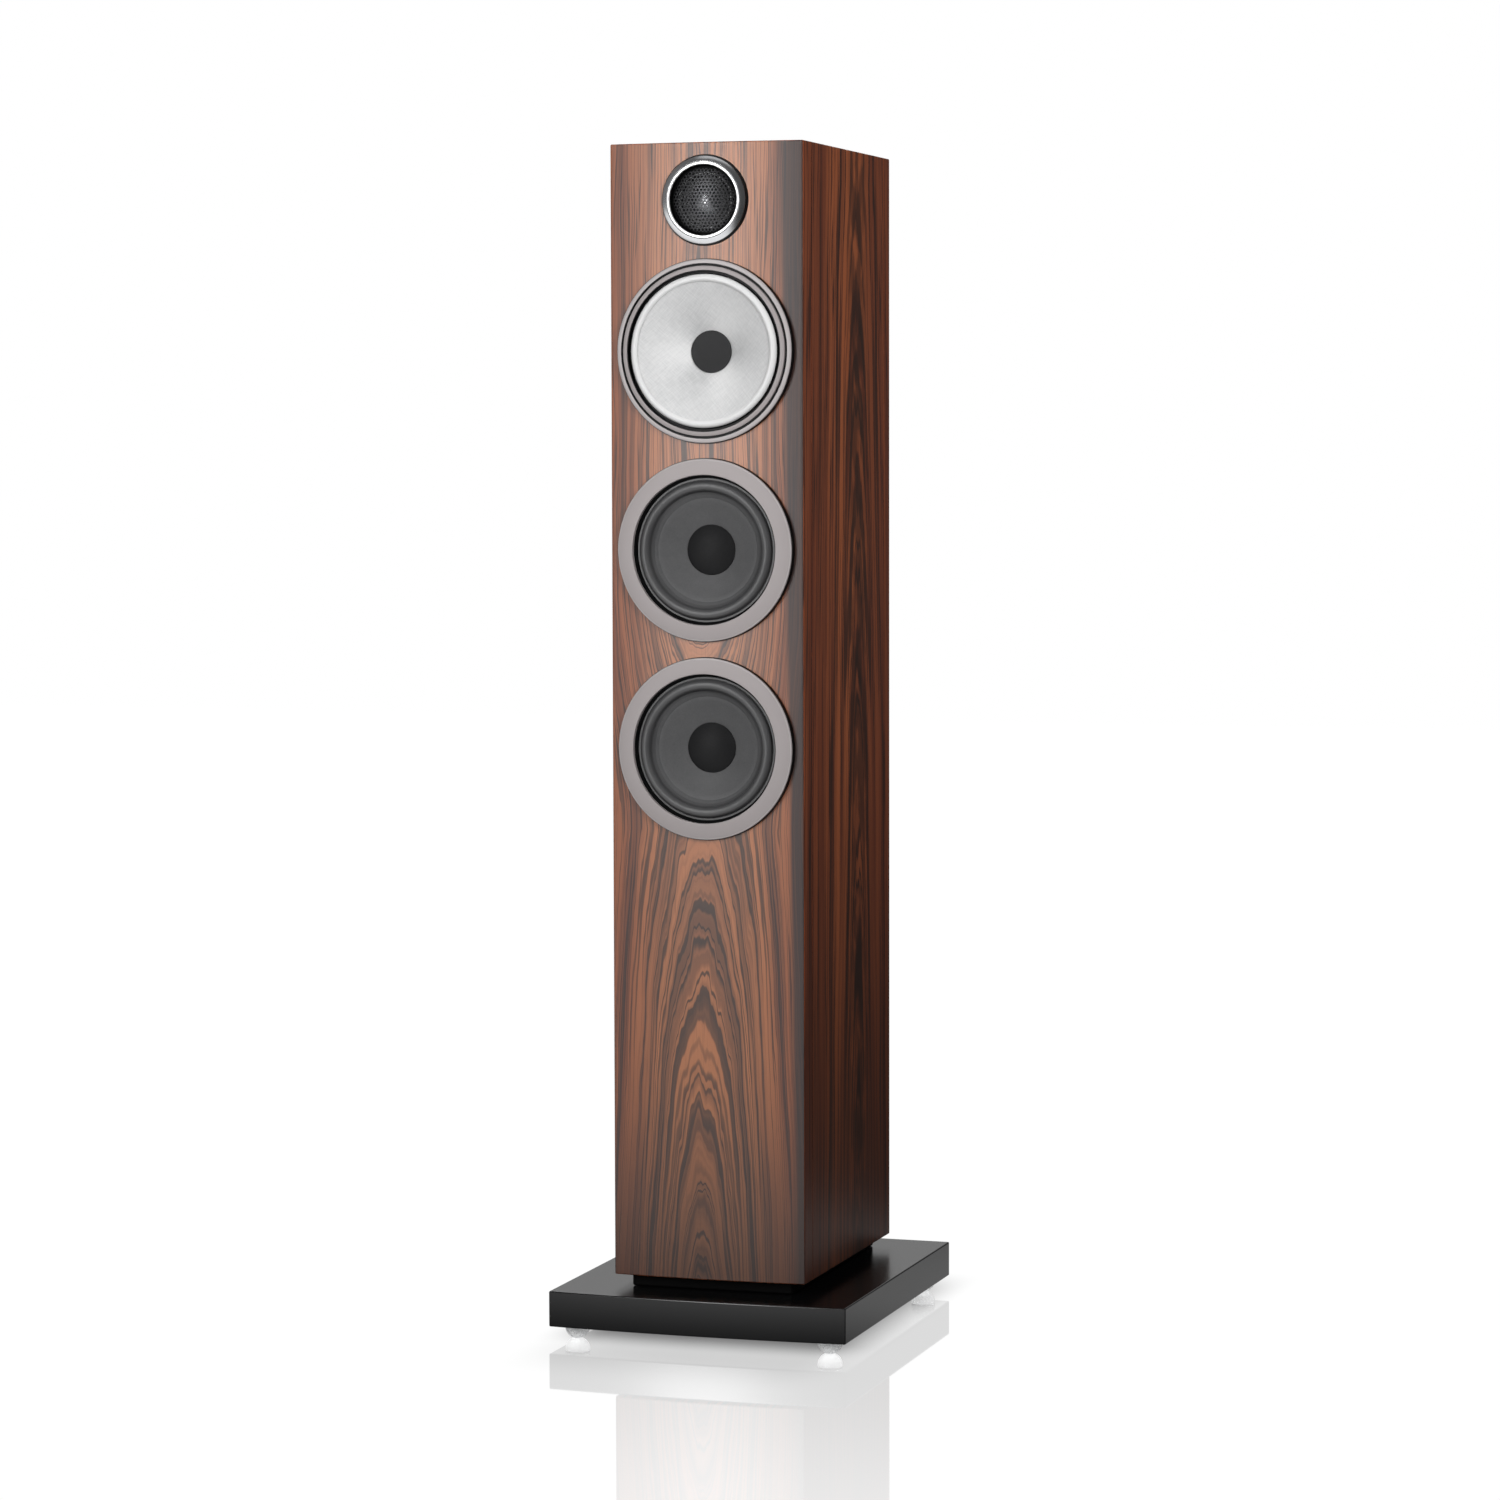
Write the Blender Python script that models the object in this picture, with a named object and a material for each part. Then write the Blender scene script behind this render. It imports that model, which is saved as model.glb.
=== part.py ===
"""A slim floorstanding loudspeaker: a veneered cabinet on a black plinth, with one dome tweeter,
one woven midrange cone and two bass cones, each built up from the pieces it would come apart into.

Metres, +Z up, front towards -Y. The origin is the middle of the plinth on the floor.
"""

import math

import bmesh
import bpy
from mathutils import Matrix

MM = 0.001
GAP = 0.3 * MM

# Cabinet
CABINET_HEIGHT = 925 * MM
CABINET_WIDTH = 164 * MM
CABINET_DEPTH = 248.5 * MM
BAFFLE_THICKNESS = 22 * MM
BAFFLE_BOW = 3.5 * MM
BAFFLE_EDGE_RADIUS = 2.5 * MM
PANEL_THICKNESS = 15 * MM
REAR_THICKNESS = 18 * MM

# Plinth, spacer and feet
PLINTH_WIDTH = 254 * MM
PLINTH_THICKNESS = 29.5 * MM
PLINTH_AHEAD = 36 * MM
PLINTH_BEHIND = 31.5 * MM
PLINTH_BOW = 5 * MM
PLINTH_EDGE = 1.2 * MM
SPACER_HEIGHT = 10.3 * MM
SPACER_SIDE_INSET = 13 * MM
SPACER_END_INSET = 7 * MM
SPACER_EDGE = 1 * MM
FOOT_HEIGHT = 11.2 * MM
FOOT_RADIUS = 10.3 * MM
FOOT_PAD_RADIUS = 3.5 * MM
FOOT_INSET = 18.5 * MM
STUD_RADIUS = 4 * MM
STUD_BOTTOM = 5 * MM
STUD_TOP = 33.2 * MM
STUD_HOLE_DEPTH = 24 * MM

# Drive units: centres below the cabinet's top
TWEETER_BELOW_TOP = 46.6 * MM
MID_BELOW_TOP = 167.8 * MM
BASS_UPPER_BELOW_TOP = 328.2 * MM
BASS_LOWER_BELOW_TOP = 489.2 * MM
TRIM_RADIUS = 74.2 * MM
TRIM_SKIRT = 1.6 * MM
TWEETER_FLANGE_RADIUS = 36.4 * MM
REBATE_FLOOR = 1.5 * MM
BASS_HOLE_RADIUS = 60 * MM
MID_HOLE_RADIUS = 64 * MM
TWEETER_HOLE_RADIUS = 32.8 * MM
BASKET_WINDOWS = 4
BASKET_WINDOW_WIDTH = 30 * MM

# Tweeter grille
GRILLE_RINGS = 4
GRILLE_PITCH = 5.0 * MM
GRILLE_HOLE_RADIUS = 1.75 * MM
GRILLE_RADIUS = 28 * MM
GRILLE_RIM_DEPTH = -3.4 * MM
GRILLE_CROWN = 5 * MM
GRILLE_THICKNESS = 0.8 * MM

# Rear fittings
PORT_BELOW_TOP = 620 * MM
PORT_FLANGE_RADIUS = 36 * MM
PORT_HOLE_RADIUS = 30 * MM
PORT_THROAT_RADIUS = 24 * MM
PORT_LENGTH = 150 * MM
PORT_REBATE = 2.5 * MM
TERMINALS_BELOW_TOP = 800 * MM
TERMINAL_PANEL_SIZE = (96 * MM, 62 * MM)
TERMINAL_OPENING_SIZE = (76 * MM, 42 * MM)
TERMINAL_REBATE = 3 * MM
TERMINAL_SPACING = 38 * MM
POST_RADIUS = 3 * MM
KNOB_FLUTES = 9
KNOB_FLUTE_WAIST = 0.93
CORNER_RADIUS = 6 * MM

# Inside
BRACE_BELOW_TOP = 408.7 * MM
BRACE_THICKNESS = 15 * MM
BRACE_WINDOW = (92 * MM, 150 * MM)
BRACE_WINDOW_CORNER = 30 * MM
CHAMBER_RADIUS = 64 * MM
CHAMBER_WALL = 5 * MM
CHAMBER_LENGTH = 100 * MM
PAD_SIZE = (120 * MM, 25 * MM, 120 * MM)
PAD_BELOW_TOP = 500 * MM
PAD_EDGE = 8 * MM
BOARD_SIZE = (110 * MM, 140 * MM, 8 * MM)
BOARD_AHEAD = 60 * MM
COIL_RADII = (9 * MM, 24 * MM)
COIL_HEIGHT = 20 * MM
CAPACITOR_RADIUS = 11 * MM
CAPACITOR_LENGTH = 50 * MM

# How far a cutter runs past the face it goes through
OVERRUN = 10 * MM

# Facets
RING_STEPS = 28
UNIT_STEPS = 18
PORT_STEPS = 16
SMALL_STEPS = 12
BOW_STEPS = 6

# Places worked out from the sizes above
PLINTH_BOTTOM = FOOT_HEIGHT
PLINTH_TOP = PLINTH_BOTTOM + PLINTH_THICKNESS
CABINET_BOTTOM = PLINTH_TOP + SPACER_HEIGHT
CABINET_TOP = CABINET_BOTTOM + CABINET_HEIGHT
PLINTH_DEPTH = PLINTH_BOW + PLINTH_AHEAD + CABINET_DEPTH + PLINTH_BEHIND
BAFFLE_Y = -PLINTH_DEPTH / 2 + PLINTH_BOW + PLINTH_AHEAD
REAR_Y = BAFFLE_Y + CABINET_DEPTH
PANEL_FRONT_Y = BAFFLE_Y + BAFFLE_THICKNESS + GAP
PANEL_REAR_Y = REAR_Y - REAR_THICKNESS - GAP
INNER_HALF_WIDTH = CABINET_WIDTH / 2 - PANEL_THICKNESS


def clear_scene():
    for old in list(bpy.data.objects):
        bpy.data.objects.remove(old, do_unlink=True)


def finish_material(name, colour, roughness, metallic=0.0):
    """A Principled surface, made once and shared by the pieces that have it."""
    made = bpy.data.materials.get(name)
    if made:
        return made
    made = bpy.data.materials.new(name)
    made.use_nodes = True
    shader = made.node_tree.nodes["Principled BSDF"]
    shader.inputs["Base Color"].default_value = (*colour, 1.0)
    shader.inputs["Roughness"].default_value = roughness
    shader.inputs["Metallic"].default_value = metallic
    made.diffuse_color = (*colour, 1.0)
    return made


def veneer():
    return finish_material("rosewood_veneer", (0.19, 0.085, 0.05), 0.35)


def board():
    return finish_material("fibreboard", (0.28, 0.20, 0.13), 0.8)


def black_lacquer():
    return finish_material("black_lacquer", (0.012, 0.012, 0.013), 0.25)


def black_plastic():
    return finish_material("black_plastic", (0.015, 0.015, 0.016), 0.5)


def satin_grey():
    return finish_material("satin_grey_metal", (0.42, 0.39, 0.39), 0.35, 0.6)


def grille_metal():
    return finish_material("grille_metal", (0.025, 0.025, 0.028), 0.4, 0.6)


def bright_metal():
    return finish_material("bright_metal", (0.8, 0.8, 0.8), 0.12, 1.0)


def steel():
    return finish_material("plated_steel", (0.55, 0.55, 0.56), 0.35, 1.0)


def brass():
    return finish_material("plated_brass", (0.75, 0.55, 0.22), 0.25, 1.0)


def ferrite():
    return finish_material("ferrite", (0.06, 0.06, 0.065), 0.6, 0.3)


def rubber():
    return finish_material("black_rubber", (0.035, 0.035, 0.037), 0.55)


def paper_cone():
    return finish_material("grey_paper_cone", (0.07, 0.07, 0.072), 0.7)


def woven_cone():
    return finish_material("silver_woven_cone", (0.66, 0.66, 0.66), 0.5)


def clear_rubber():
    return finish_material("clear_rubber", (0.85, 0.86, 0.87), 0.15)


def impregnated_cloth():
    return finish_material("impregnated_cloth", (0.55, 0.38, 0.16), 0.8)


def foam():
    return finish_material("damping_foam", (0.10, 0.10, 0.105), 0.95)


def copper():
    return finish_material("enamelled_copper", (0.55, 0.24, 0.11), 0.35, 1.0)


def add_object(name, bm, material, parent=None, place=(0, 0, 0)):
    """Turns an edit mesh into a named object, shaded smooth except at its sharp edges."""
    bmesh.ops.remove_doubles(bm, verts=bm.verts, dist=1e-6)
    bmesh.ops.recalc_face_normals(bm, faces=bm.faces)
    mesh = bpy.data.meshes.new(name)
    bm.to_mesh(mesh)
    bm.free()
    mesh.shade_smooth()
    mesh.set_sharp_from_angle(angle=math.radians(35))
    mesh.materials.append(material)
    made = bpy.data.objects.new(name, mesh)
    bpy.context.scene.collection.objects.link(made)
    made.parent = parent
    made.location = place
    return made


def add_pivot(name, place):
    """An empty on a unit's axis, which its pieces are parented to."""
    pivot = bpy.data.objects.new(name, None)
    bpy.context.scene.collection.objects.link(pivot)
    pivot.location = place
    return pivot


def turned_mesh(outline, steps, upright=False):
    """A closed outline of (radius, distance along the axis) in mm, spun about Y, or about Z if upright."""
    bm = bmesh.new()
    points = [bm.verts.new((radius * MM, along * MM, 0)) for radius, along in outline]
    on_axis = outline[0][0] == 0 and outline[-1][0] == 0
    last = len(points) - 1 if on_axis else len(points)
    edges = [bm.edges.new((points[i], points[(i + 1) % len(points)])) for i in range(last)]
    bmesh.ops.spin(
        bm, geom=points + edges, cent=(0, 0, 0), axis=(0, 1, 0),
        angle=2 * math.pi, steps=steps, use_merge=True,
    )
    if upright:
        bmesh.ops.rotate(bm, verts=bm.verts, matrix=Matrix.Rotation(math.pi / 2, 3, "X"))
    return bm


def turned(name, outline, steps, material, parent=None, place=(0, 0, 0), upright=False):
    return add_object(name, turned_mesh(outline, steps, upright), material, parent, place)


def prism_mesh(outline, low, high, axis="Z"):
    """A closed outline swept from low to high: (x, y) along Z, (x, z) along Y."""
    bm = bmesh.new()
    if axis == "Z":
        start = [bm.verts.new((a, b, low)) for a, b in outline]
        travel = (0, 0, high - low)
    else:
        start = [bm.verts.new((a, low, b)) for a, b in outline]
        travel = (0, high - low, 0)
    face = bm.faces.new(start)
    swept = bmesh.ops.extrude_face_region(bm, geom=[face])
    moved = [item for item in swept["geom"] if isinstance(item, bmesh.types.BMVert)]
    bmesh.ops.translate(bm, verts=moved, vec=travel)
    return bm


def box_mesh(low, high):
    outline = [(low[0], low[1]), (high[0], low[1]), (high[0], high[1]), (low[0], high[1])]
    return prism_mesh(outline, low[2], high[2])


def rounded_rectangle(centre, size, radius, steps=4):
    """The corners of a rectangle, each replaced by an arc."""
    points = []
    for turn, (across, up) in enumerate(((1, -1), (1, 1), (-1, 1), (-1, -1))):
        middle_x = centre[0] + across * (size[0] / 2 - radius)
        middle_y = centre[1] + up * (size[1] / 2 - radius)
        for step in range(steps + 1):
            angle = math.radians(90 * (turn - 1 + step / steps))
            points.append((middle_x + radius * math.cos(angle), middle_y + radius * math.sin(angle)))
    return points


def bowed_front(half_width, edge_y, bow, steps):
    """Points of a shallow front curve from left to right, standing ahead of edge_y by bow in the middle."""
    shares = [-1 + 2 * step / steps for step in range(steps + 1)]
    return [(share * half_width, edge_y - bow * (1 - share * share)) for share in shares]


def cut(target, cutter):
    """Takes the cutter's shape out of the target."""
    cutter.hide_render = True
    cutter.display_type = "WIRE"
    modifier = target.modifiers.new("cut_" + cutter.name, "BOOLEAN")
    modifier.operation = "DIFFERENCE"
    modifier.solver = "EXACT"
    modifier.object = cutter


def bevel_edges(target, width, segments=2):
    modifier = target.modifiers.new("eased_edges", "BEVEL")
    modifier.width = width
    modifier.segments = segments
    modifier.limit_method = "ANGLE"
    modifier.angle_limit = math.radians(60)


def below_top(distance):
    return CABINET_TOP - distance


def unit_place(distance):
    return (0, BAFFLE_Y, below_top(distance))


def make_baffle():
    """The bowed front board, with a rebated hole for each drive unit."""
    half = CABINET_WIDTH / 2
    front = bowed_front(half, BAFFLE_Y, BAFFLE_BOW, BOW_STEPS)
    rear_y = BAFFLE_Y + BAFFLE_THICKNESS
    corner = BAFFLE_EDGE_RADIUS
    arc = [math.radians(15 * step) for step in range(1, 6, 2)]
    right = [(half - corner + corner * math.sin(a), BAFFLE_Y + corner - corner * math.cos(a)) for a in arc]
    left = [(-x, y) for x, y in reversed(right)]
    outline = left + front[1:-1] + right + [(half, rear_y), (-half, rear_y)]
    baffle = add_object(
        "front_baffle", prism_mesh(outline, CABINET_BOTTOM, CABINET_TOP), veneer()
    )
    ahead = -(BAFFLE_BOW + OVERRUN) / MM
    behind = (BAFFLE_THICKNESS + OVERRUN) / MM
    floor = REBATE_FLOOR / MM
    units = (
        ("tweeter_cutter", TWEETER_BELOW_TOP, TWEETER_FLANGE_RADIUS, TWEETER_HOLE_RADIUS),
        ("mid_cutter", MID_BELOW_TOP, TRIM_RADIUS, MID_HOLE_RADIUS),
        ("bass_upper_cutter", BASS_UPPER_BELOW_TOP, TRIM_RADIUS, BASS_HOLE_RADIUS),
        ("bass_lower_cutter", BASS_LOWER_BELOW_TOP, TRIM_RADIUS, BASS_HOLE_RADIUS),
    )
    for name, distance, flange, hole in units:
        rebate = (flange + GAP) / MM
        through = hole / MM
        stepped = [
            (0, ahead), (rebate, ahead), (rebate, floor), (through, floor), (through, behind), (0, behind),
        ]
        cut(baffle, turned(name, stepped, RING_STEPS, board(), place=unit_place(distance)))


def make_wrap():
    """Two sides, a top and a bottom, mitred where they meet."""
    half = CABINET_WIDTH / 2
    inner = INNER_HALF_WIDTH
    low, high = CABINET_BOTTOM, CABINET_TOP
    wall = PANEL_THICKNESS
    ease = GAP
    for side, name in ((-1, "side_panel_left"), (1, "side_panel_right")):
        outline = [
            (side * half, low + ease), (side * half, high - ease),
            (side * inner, high - wall - ease), (side * inner, low + wall + ease),
        ]
        add_object(name, prism_mesh(outline, PANEL_FRONT_Y, PANEL_REAR_Y, "Y"), veneer())
    for name, outer_z, inner_z in (("top_panel", high, high - wall), ("bottom_panel", low, low + wall)):
        outline = [
            (-half + ease, outer_z), (half - ease, outer_z),
            (inner - ease, inner_z), (-inner + ease, inner_z),
        ]
        add_object(name, prism_mesh(outline, PANEL_FRONT_Y, PANEL_REAR_Y, "Y"), veneer())


def make_rear_panel():
    """The rear board, with a rebated round hole for the port and a rebated opening for the terminals."""
    half = CABINET_WIDTH / 2
    panel = add_object(
        "rear_panel",
        box_mesh((-half, REAR_Y - REAR_THICKNESS, CABINET_BOTTOM), (half, REAR_Y, CABINET_TOP)),
        veneer(),
    )
    hole = PORT_HOLE_RADIUS / MM
    flange = (PORT_FLANGE_RADIUS + GAP) / MM
    rebate = -PORT_REBATE / MM
    through = -(REAR_THICKNESS + OVERRUN) / MM
    past = OVERRUN / MM
    stepped = [(0, through), (hole, through), (hole, rebate), (flange, rebate), (flange, past), (0, past)]
    place = (0, REAR_Y, below_top(PORT_BELOW_TOP))
    cut(panel, turned("port_cutter", stepped, PORT_STEPS, board(), place=place))
    centre = (0, below_top(TERMINALS_BELOW_TOP))
    wide = tuple(size + 2 * GAP for size in TERMINAL_PANEL_SIZE)
    outer = rounded_rectangle(centre, wide, CORNER_RADIUS)
    inner = rounded_rectangle(centre, TERMINAL_OPENING_SIZE, CORNER_RADIUS)
    shallow = prism_mesh(outer, REAR_Y - TERMINAL_REBATE, REAR_Y + OVERRUN, "Y")
    deep = prism_mesh(inner, REAR_Y - REAR_THICKNESS - OVERRUN, REAR_Y, "Y")
    cut(panel, add_object("terminal_rebate_cutter", shallow, board()))
    cut(panel, add_object("terminal_opening_cutter", deep, board()))


def make_inside():
    """The shelf brace, the midrange unit's own chamber and a pad of damping foam."""
    front = PANEL_FRONT_Y + GAP
    rear = PANEL_REAR_Y - GAP
    wide = INNER_HALF_WIDTH - GAP
    middle = below_top(BRACE_BELOW_TOP)
    half = BRACE_THICKNESS / 2
    shelf = box_mesh((-wide, front, middle - half), (wide, rear, middle + half))
    brace = add_object("window_brace", shelf, board())
    window = rounded_rectangle((0, (front + rear) / 2), BRACE_WINDOW, BRACE_WINDOW_CORNER)
    cut(brace, add_object("brace_cutter", prism_mesh(window, middle - 2 * half, middle + 2 * half), board()))

    outer = CHAMBER_RADIUS / MM
    wall = CHAMBER_WALL / MM
    start = (BAFFLE_THICKNESS + GAP) / MM
    end = start + CHAMBER_LENGTH / MM
    shoulder = end - 0.3 * outer
    inner = outer - wall
    cup = [
        (0, end), (0.8 * outer, end), (outer, shoulder), (outer, start),
        (inner, start), (inner, shoulder - wall / 2), (0.76 * outer, end - wall), (0, end - wall),
    ]
    turned("mid_chamber", cup, UNIT_STEPS, board(), place=unit_place(MID_BELOW_TOP))

    width, depth, height = PAD_SIZE
    level = below_top(PAD_BELOW_TOP)
    pad = box_mesh((-width / 2, rear - depth, level - height / 2), (width / 2, rear, level + height / 2))
    bevel_edges(add_object("damping_pad", pad, foam()), PAD_EDGE, 1)


def make_crossover():
    """The dividing network on the cabinet's floor: a board with an air-cored coil and a capacitor."""
    width, depth, height = BOARD_SIZE
    floor = CABINET_BOTTOM + PANEL_THICKNESS + GAP
    front = BAFFLE_Y + BOARD_AHEAD
    base = box_mesh((-width / 2, front, floor), (width / 2, front + depth, floor + height))
    add_object("crossover_board", base, board())
    top = floor + height + GAP
    inner, outer = (radius / MM for radius in COIL_RADII)
    tall = COIL_HEIGHT / MM
    ring = [(inner, 0), (outer, 0), (outer, tall), (inner, tall)]
    place = (-width / 4, front + depth / 3, top)
    turned("crossover_coil", ring, SMALL_STEPS, copper(), place=place, upright=True)
    radius = CAPACITOR_RADIUS / MM
    half = CAPACITOR_LENGTH / MM / 2
    neck = radius - 1
    can = [(0, -half), (neck, -half), (radius, 1 - half), (radius, half - 1), (neck, half), (0, half)]
    place = (width / 4, front + depth / 2, top + CAPACITOR_RADIUS)
    turned("crossover_capacitor", can, SMALL_STEPS, black_plastic(), place=place)


def make_plinth():
    """The plinth board with its bowed front edge and stud holes, and the spacer that lifts the cabinet."""
    half = PLINTH_WIDTH / 2
    front_y = BAFFLE_Y - PLINTH_AHEAD
    rear_y = REAR_Y + PLINTH_BEHIND
    outline = bowed_front(half, front_y, PLINTH_BOW, BOW_STEPS) + [(half, rear_y), (-half, rear_y)]
    plinth = add_object("plinth_board", prism_mesh(outline, PLINTH_BOTTOM, PLINTH_TOP), black_lacquer())
    bevel_edges(plinth, PLINTH_EDGE, 1)
    radius = (STUD_RADIUS + GAP) / MM
    deep = STUD_HOLE_DEPTH / MM
    past = -OVERRUN / MM
    drill = [(0, past), (radius, past), (radius, deep), (0, deep)]
    for name, x, y in foot_places():
        place = (x, y, PLINTH_BOTTOM)
        cut(plinth, turned("stud_cutter_" + name, drill, SMALL_STEPS, board(), place=place, upright=True))
    wide = CABINET_WIDTH / 2 - SPACER_SIDE_INSET
    low = (-wide, BAFFLE_Y + SPACER_END_INSET, PLINTH_TOP + GAP)
    high = (wide, REAR_Y - SPACER_END_INSET, CABINET_BOTTOM - GAP)
    bevel_edges(add_object("plinth_spacer", box_mesh(low, high), black_plastic()), SPACER_EDGE, 1)


def foot_places():
    across = PLINTH_WIDTH / 2 - FOOT_INSET
    front = BAFFLE_Y - PLINTH_AHEAD + FOOT_INSET
    rear = REAR_Y + PLINTH_BEHIND - FOOT_INSET
    return (
        ("front_left", -across, front), ("front_right", across, front),
        ("rear_left", -across, rear), ("rear_right", across, rear),
    )


def make_feet():
    """Four clear rubber domes, each moulded round a threaded stud that screws into the plinth."""
    radius = FOOT_RADIUS / MM
    pad = FOOT_PAD_RADIUS / MM
    tall = (FOOT_HEIGHT - GAP) / MM
    socket = (STUD_RADIUS + GAP) / MM
    socket_floor = (STUD_BOTTOM - GAP) / MM
    start = math.acos(pad / radius)
    rounds = [start * share for share in (1, 0.72, 0.45, 0.2, 0)]
    drop = radius * math.sin(start)
    skin = [(radius * math.cos(a), drop - radius * math.sin(a)) for a in rounds]
    dome = [(0, 0)] + skin + [(radius, tall), (socket, tall), (socket, socket_floor), (0, socket_floor)]
    rod = STUD_RADIUS / MM
    low, high = STUD_BOTTOM / MM, STUD_TOP / MM
    stud = [(0, low), (rod, low), (rod, high - 0.8), (rod - 0.8, high), (0, high)]
    for name, x, y in foot_places():
        pivot = add_pivot("foot_" + name, (x, y, 0))
        turned("foot_stud_" + name, stud, SMALL_STEPS, steel(), pivot, upright=True)
        turned("foot_dome_" + name, dome, SMALL_STEPS, clear_rubber(), pivot, upright=True)


def cut_basket_windows(chassis, pivot, name, inner, outer, front, rear):
    """Takes the openings between the ribs out of a basket's sloping wall."""
    half = BASKET_WINDOW_WIDTH / 2
    for number in range(BASKET_WINDOWS):
        angle = 2 * math.pi * (number + 0.5) / BASKET_WINDOWS
        bm = box_mesh((inner * MM, front * MM, -half), (outer * MM, rear * MM, half))
        bmesh.ops.rotate(bm, verts=bm.verts, matrix=Matrix.Rotation(angle, 3, "Y"))
        cut(chassis, add_object(f"{name}_window_cutter_{number}", bm, board(), pivot))


def half_roll(middle, radius, base, degrees):
    """Points of a half-round roll that stands forward of base, at the given angles from its outer foot."""
    turns = [math.radians(angle) for angle in degrees]
    return [(middle + radius * math.cos(a), base - radius * math.sin(a)) for a in turns]


def make_motor(name, pivot, pole, plate_hole, front, outer):
    """Front plate, ring magnet and vented pole, with the slot that the voice coil works in."""
    vent = 0.4 * pole
    magnet_hole = plate_hole + 6
    plate, magnet, yoke = front + 6, front + 24, front + 31
    outline = [
        (vent, front - 1), (pole, front - 1), (pole, magnet), (magnet_hole, magnet), (magnet_hole, plate),
        (plate_hole, plate), (plate_hole, front), (outer, front), (outer, magnet), (outer - 3, yoke),
        (vent, yoke),
    ]
    turned(name, outline, SMALL_STEPS, ferrite(), pivot)


def make_spider(name, pivot, inner, outer, depth):
    """The ribbed cloth disc that centres the voice coil."""
    waves = 2
    first, last = inner + 2.5, outer - 4
    ridge = 1.2
    front = [(inner, depth)]
    for step in range(waves + 1):
        lift = ridge if step % 2 else -ridge
        front.append((first + (last - first) * step / waves, depth + lift))
    front.append((outer, depth))
    back = [(radius, along + 0.8) for radius, along in reversed(front)]
    turned(name, front + back, SMALL_STEPS, impregnated_cloth(), pivot)


def make_voice_coil(name, pivot, inner, front, rear):
    wall = 0.5
    turned(
        name, [(inner, front), (inner + wall, front), (inner + wall, rear), (inner, rear)],
        SMALL_STEPS, copper(), pivot,
    )


def make_bass(name, distance):
    """One bass unit, from its trim ring back to its magnet. Outlines are (radius, depth) in mm."""
    pivot = add_pivot(name, unit_place(distance))
    rim = TRIM_RADIUS / MM
    skirt = rim - TRIM_SKIRT / MM
    ring = [
        (60.7, -5.5), (60.7, -9.5), (61.3, -10.0), (rim - 0.6, -8.1), (rim, -7.6), (rim, 1.2), (skirt, 1.2),
        (skirt, -5.5),
    ]
    turned(name + "_trim_ring", ring, RING_STEPS, satin_grey(), pivot)
    basket = [
        (71.6, -5.2), (71.6, 1.2), (59.5, 1.2), (44.0, 29.7), (28.0, 29.7), (28.0, 26.7),
        (37.5, 26.7), (37.5, 20.8), (43.5, 20.8), (55.0, 2.5), (55.0, -2.4), (58.8, -2.4), (60.4, -5.2),
    ]
    chassis = turned(name + "_chassis", basket, UNIT_STEPS, black_plastic(), pivot)
    cut_basket_windows(chassis, pivot, name, 34, 80, 6, 18)
    make_motor(name + "_motor", pivot, pole=11.9, plate_hole=14.0, front=30, outer=42)
    front = half_roll(51.9, 4.3, -3.6, (0, 50, 90, 130, 180))
    back = half_roll(51.9, 3.4, -2.7, (180, 90, 0))
    surround = [(58.2, -3.6)] + front + [(44.6, -2.2), (44.6, -1.3)] + back + [(58.2, -2.7)]
    turned(name + "_surround", surround, UNIT_STEPS, rubber(), pivot)
    cone = [(47.2, -2.0), (20.4, 11.0), (13.3, 14.4), (13.3, 15.3), (20.4, 11.9), (47.2, -1.1)]
    turned(name + "_cone", cone, UNIT_STEPS, paper_cone(), pivot)
    cap = [(0, 4.6), (8, 5.4), (15, 7.6), (20.2, 10.2), (20.2, 10.7), (15, 8.5), (0, 5.6)]
    turned(name + "_dust_cap", cap, UNIT_STEPS, black_plastic(), pivot)
    make_spider(name + "_spider", pivot, inner=13.3, outer=42.5, depth=19.7)
    make_voice_coil(name + "_voice_coil", pivot, inner=12.4, front=14.2, rear=38)


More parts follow.
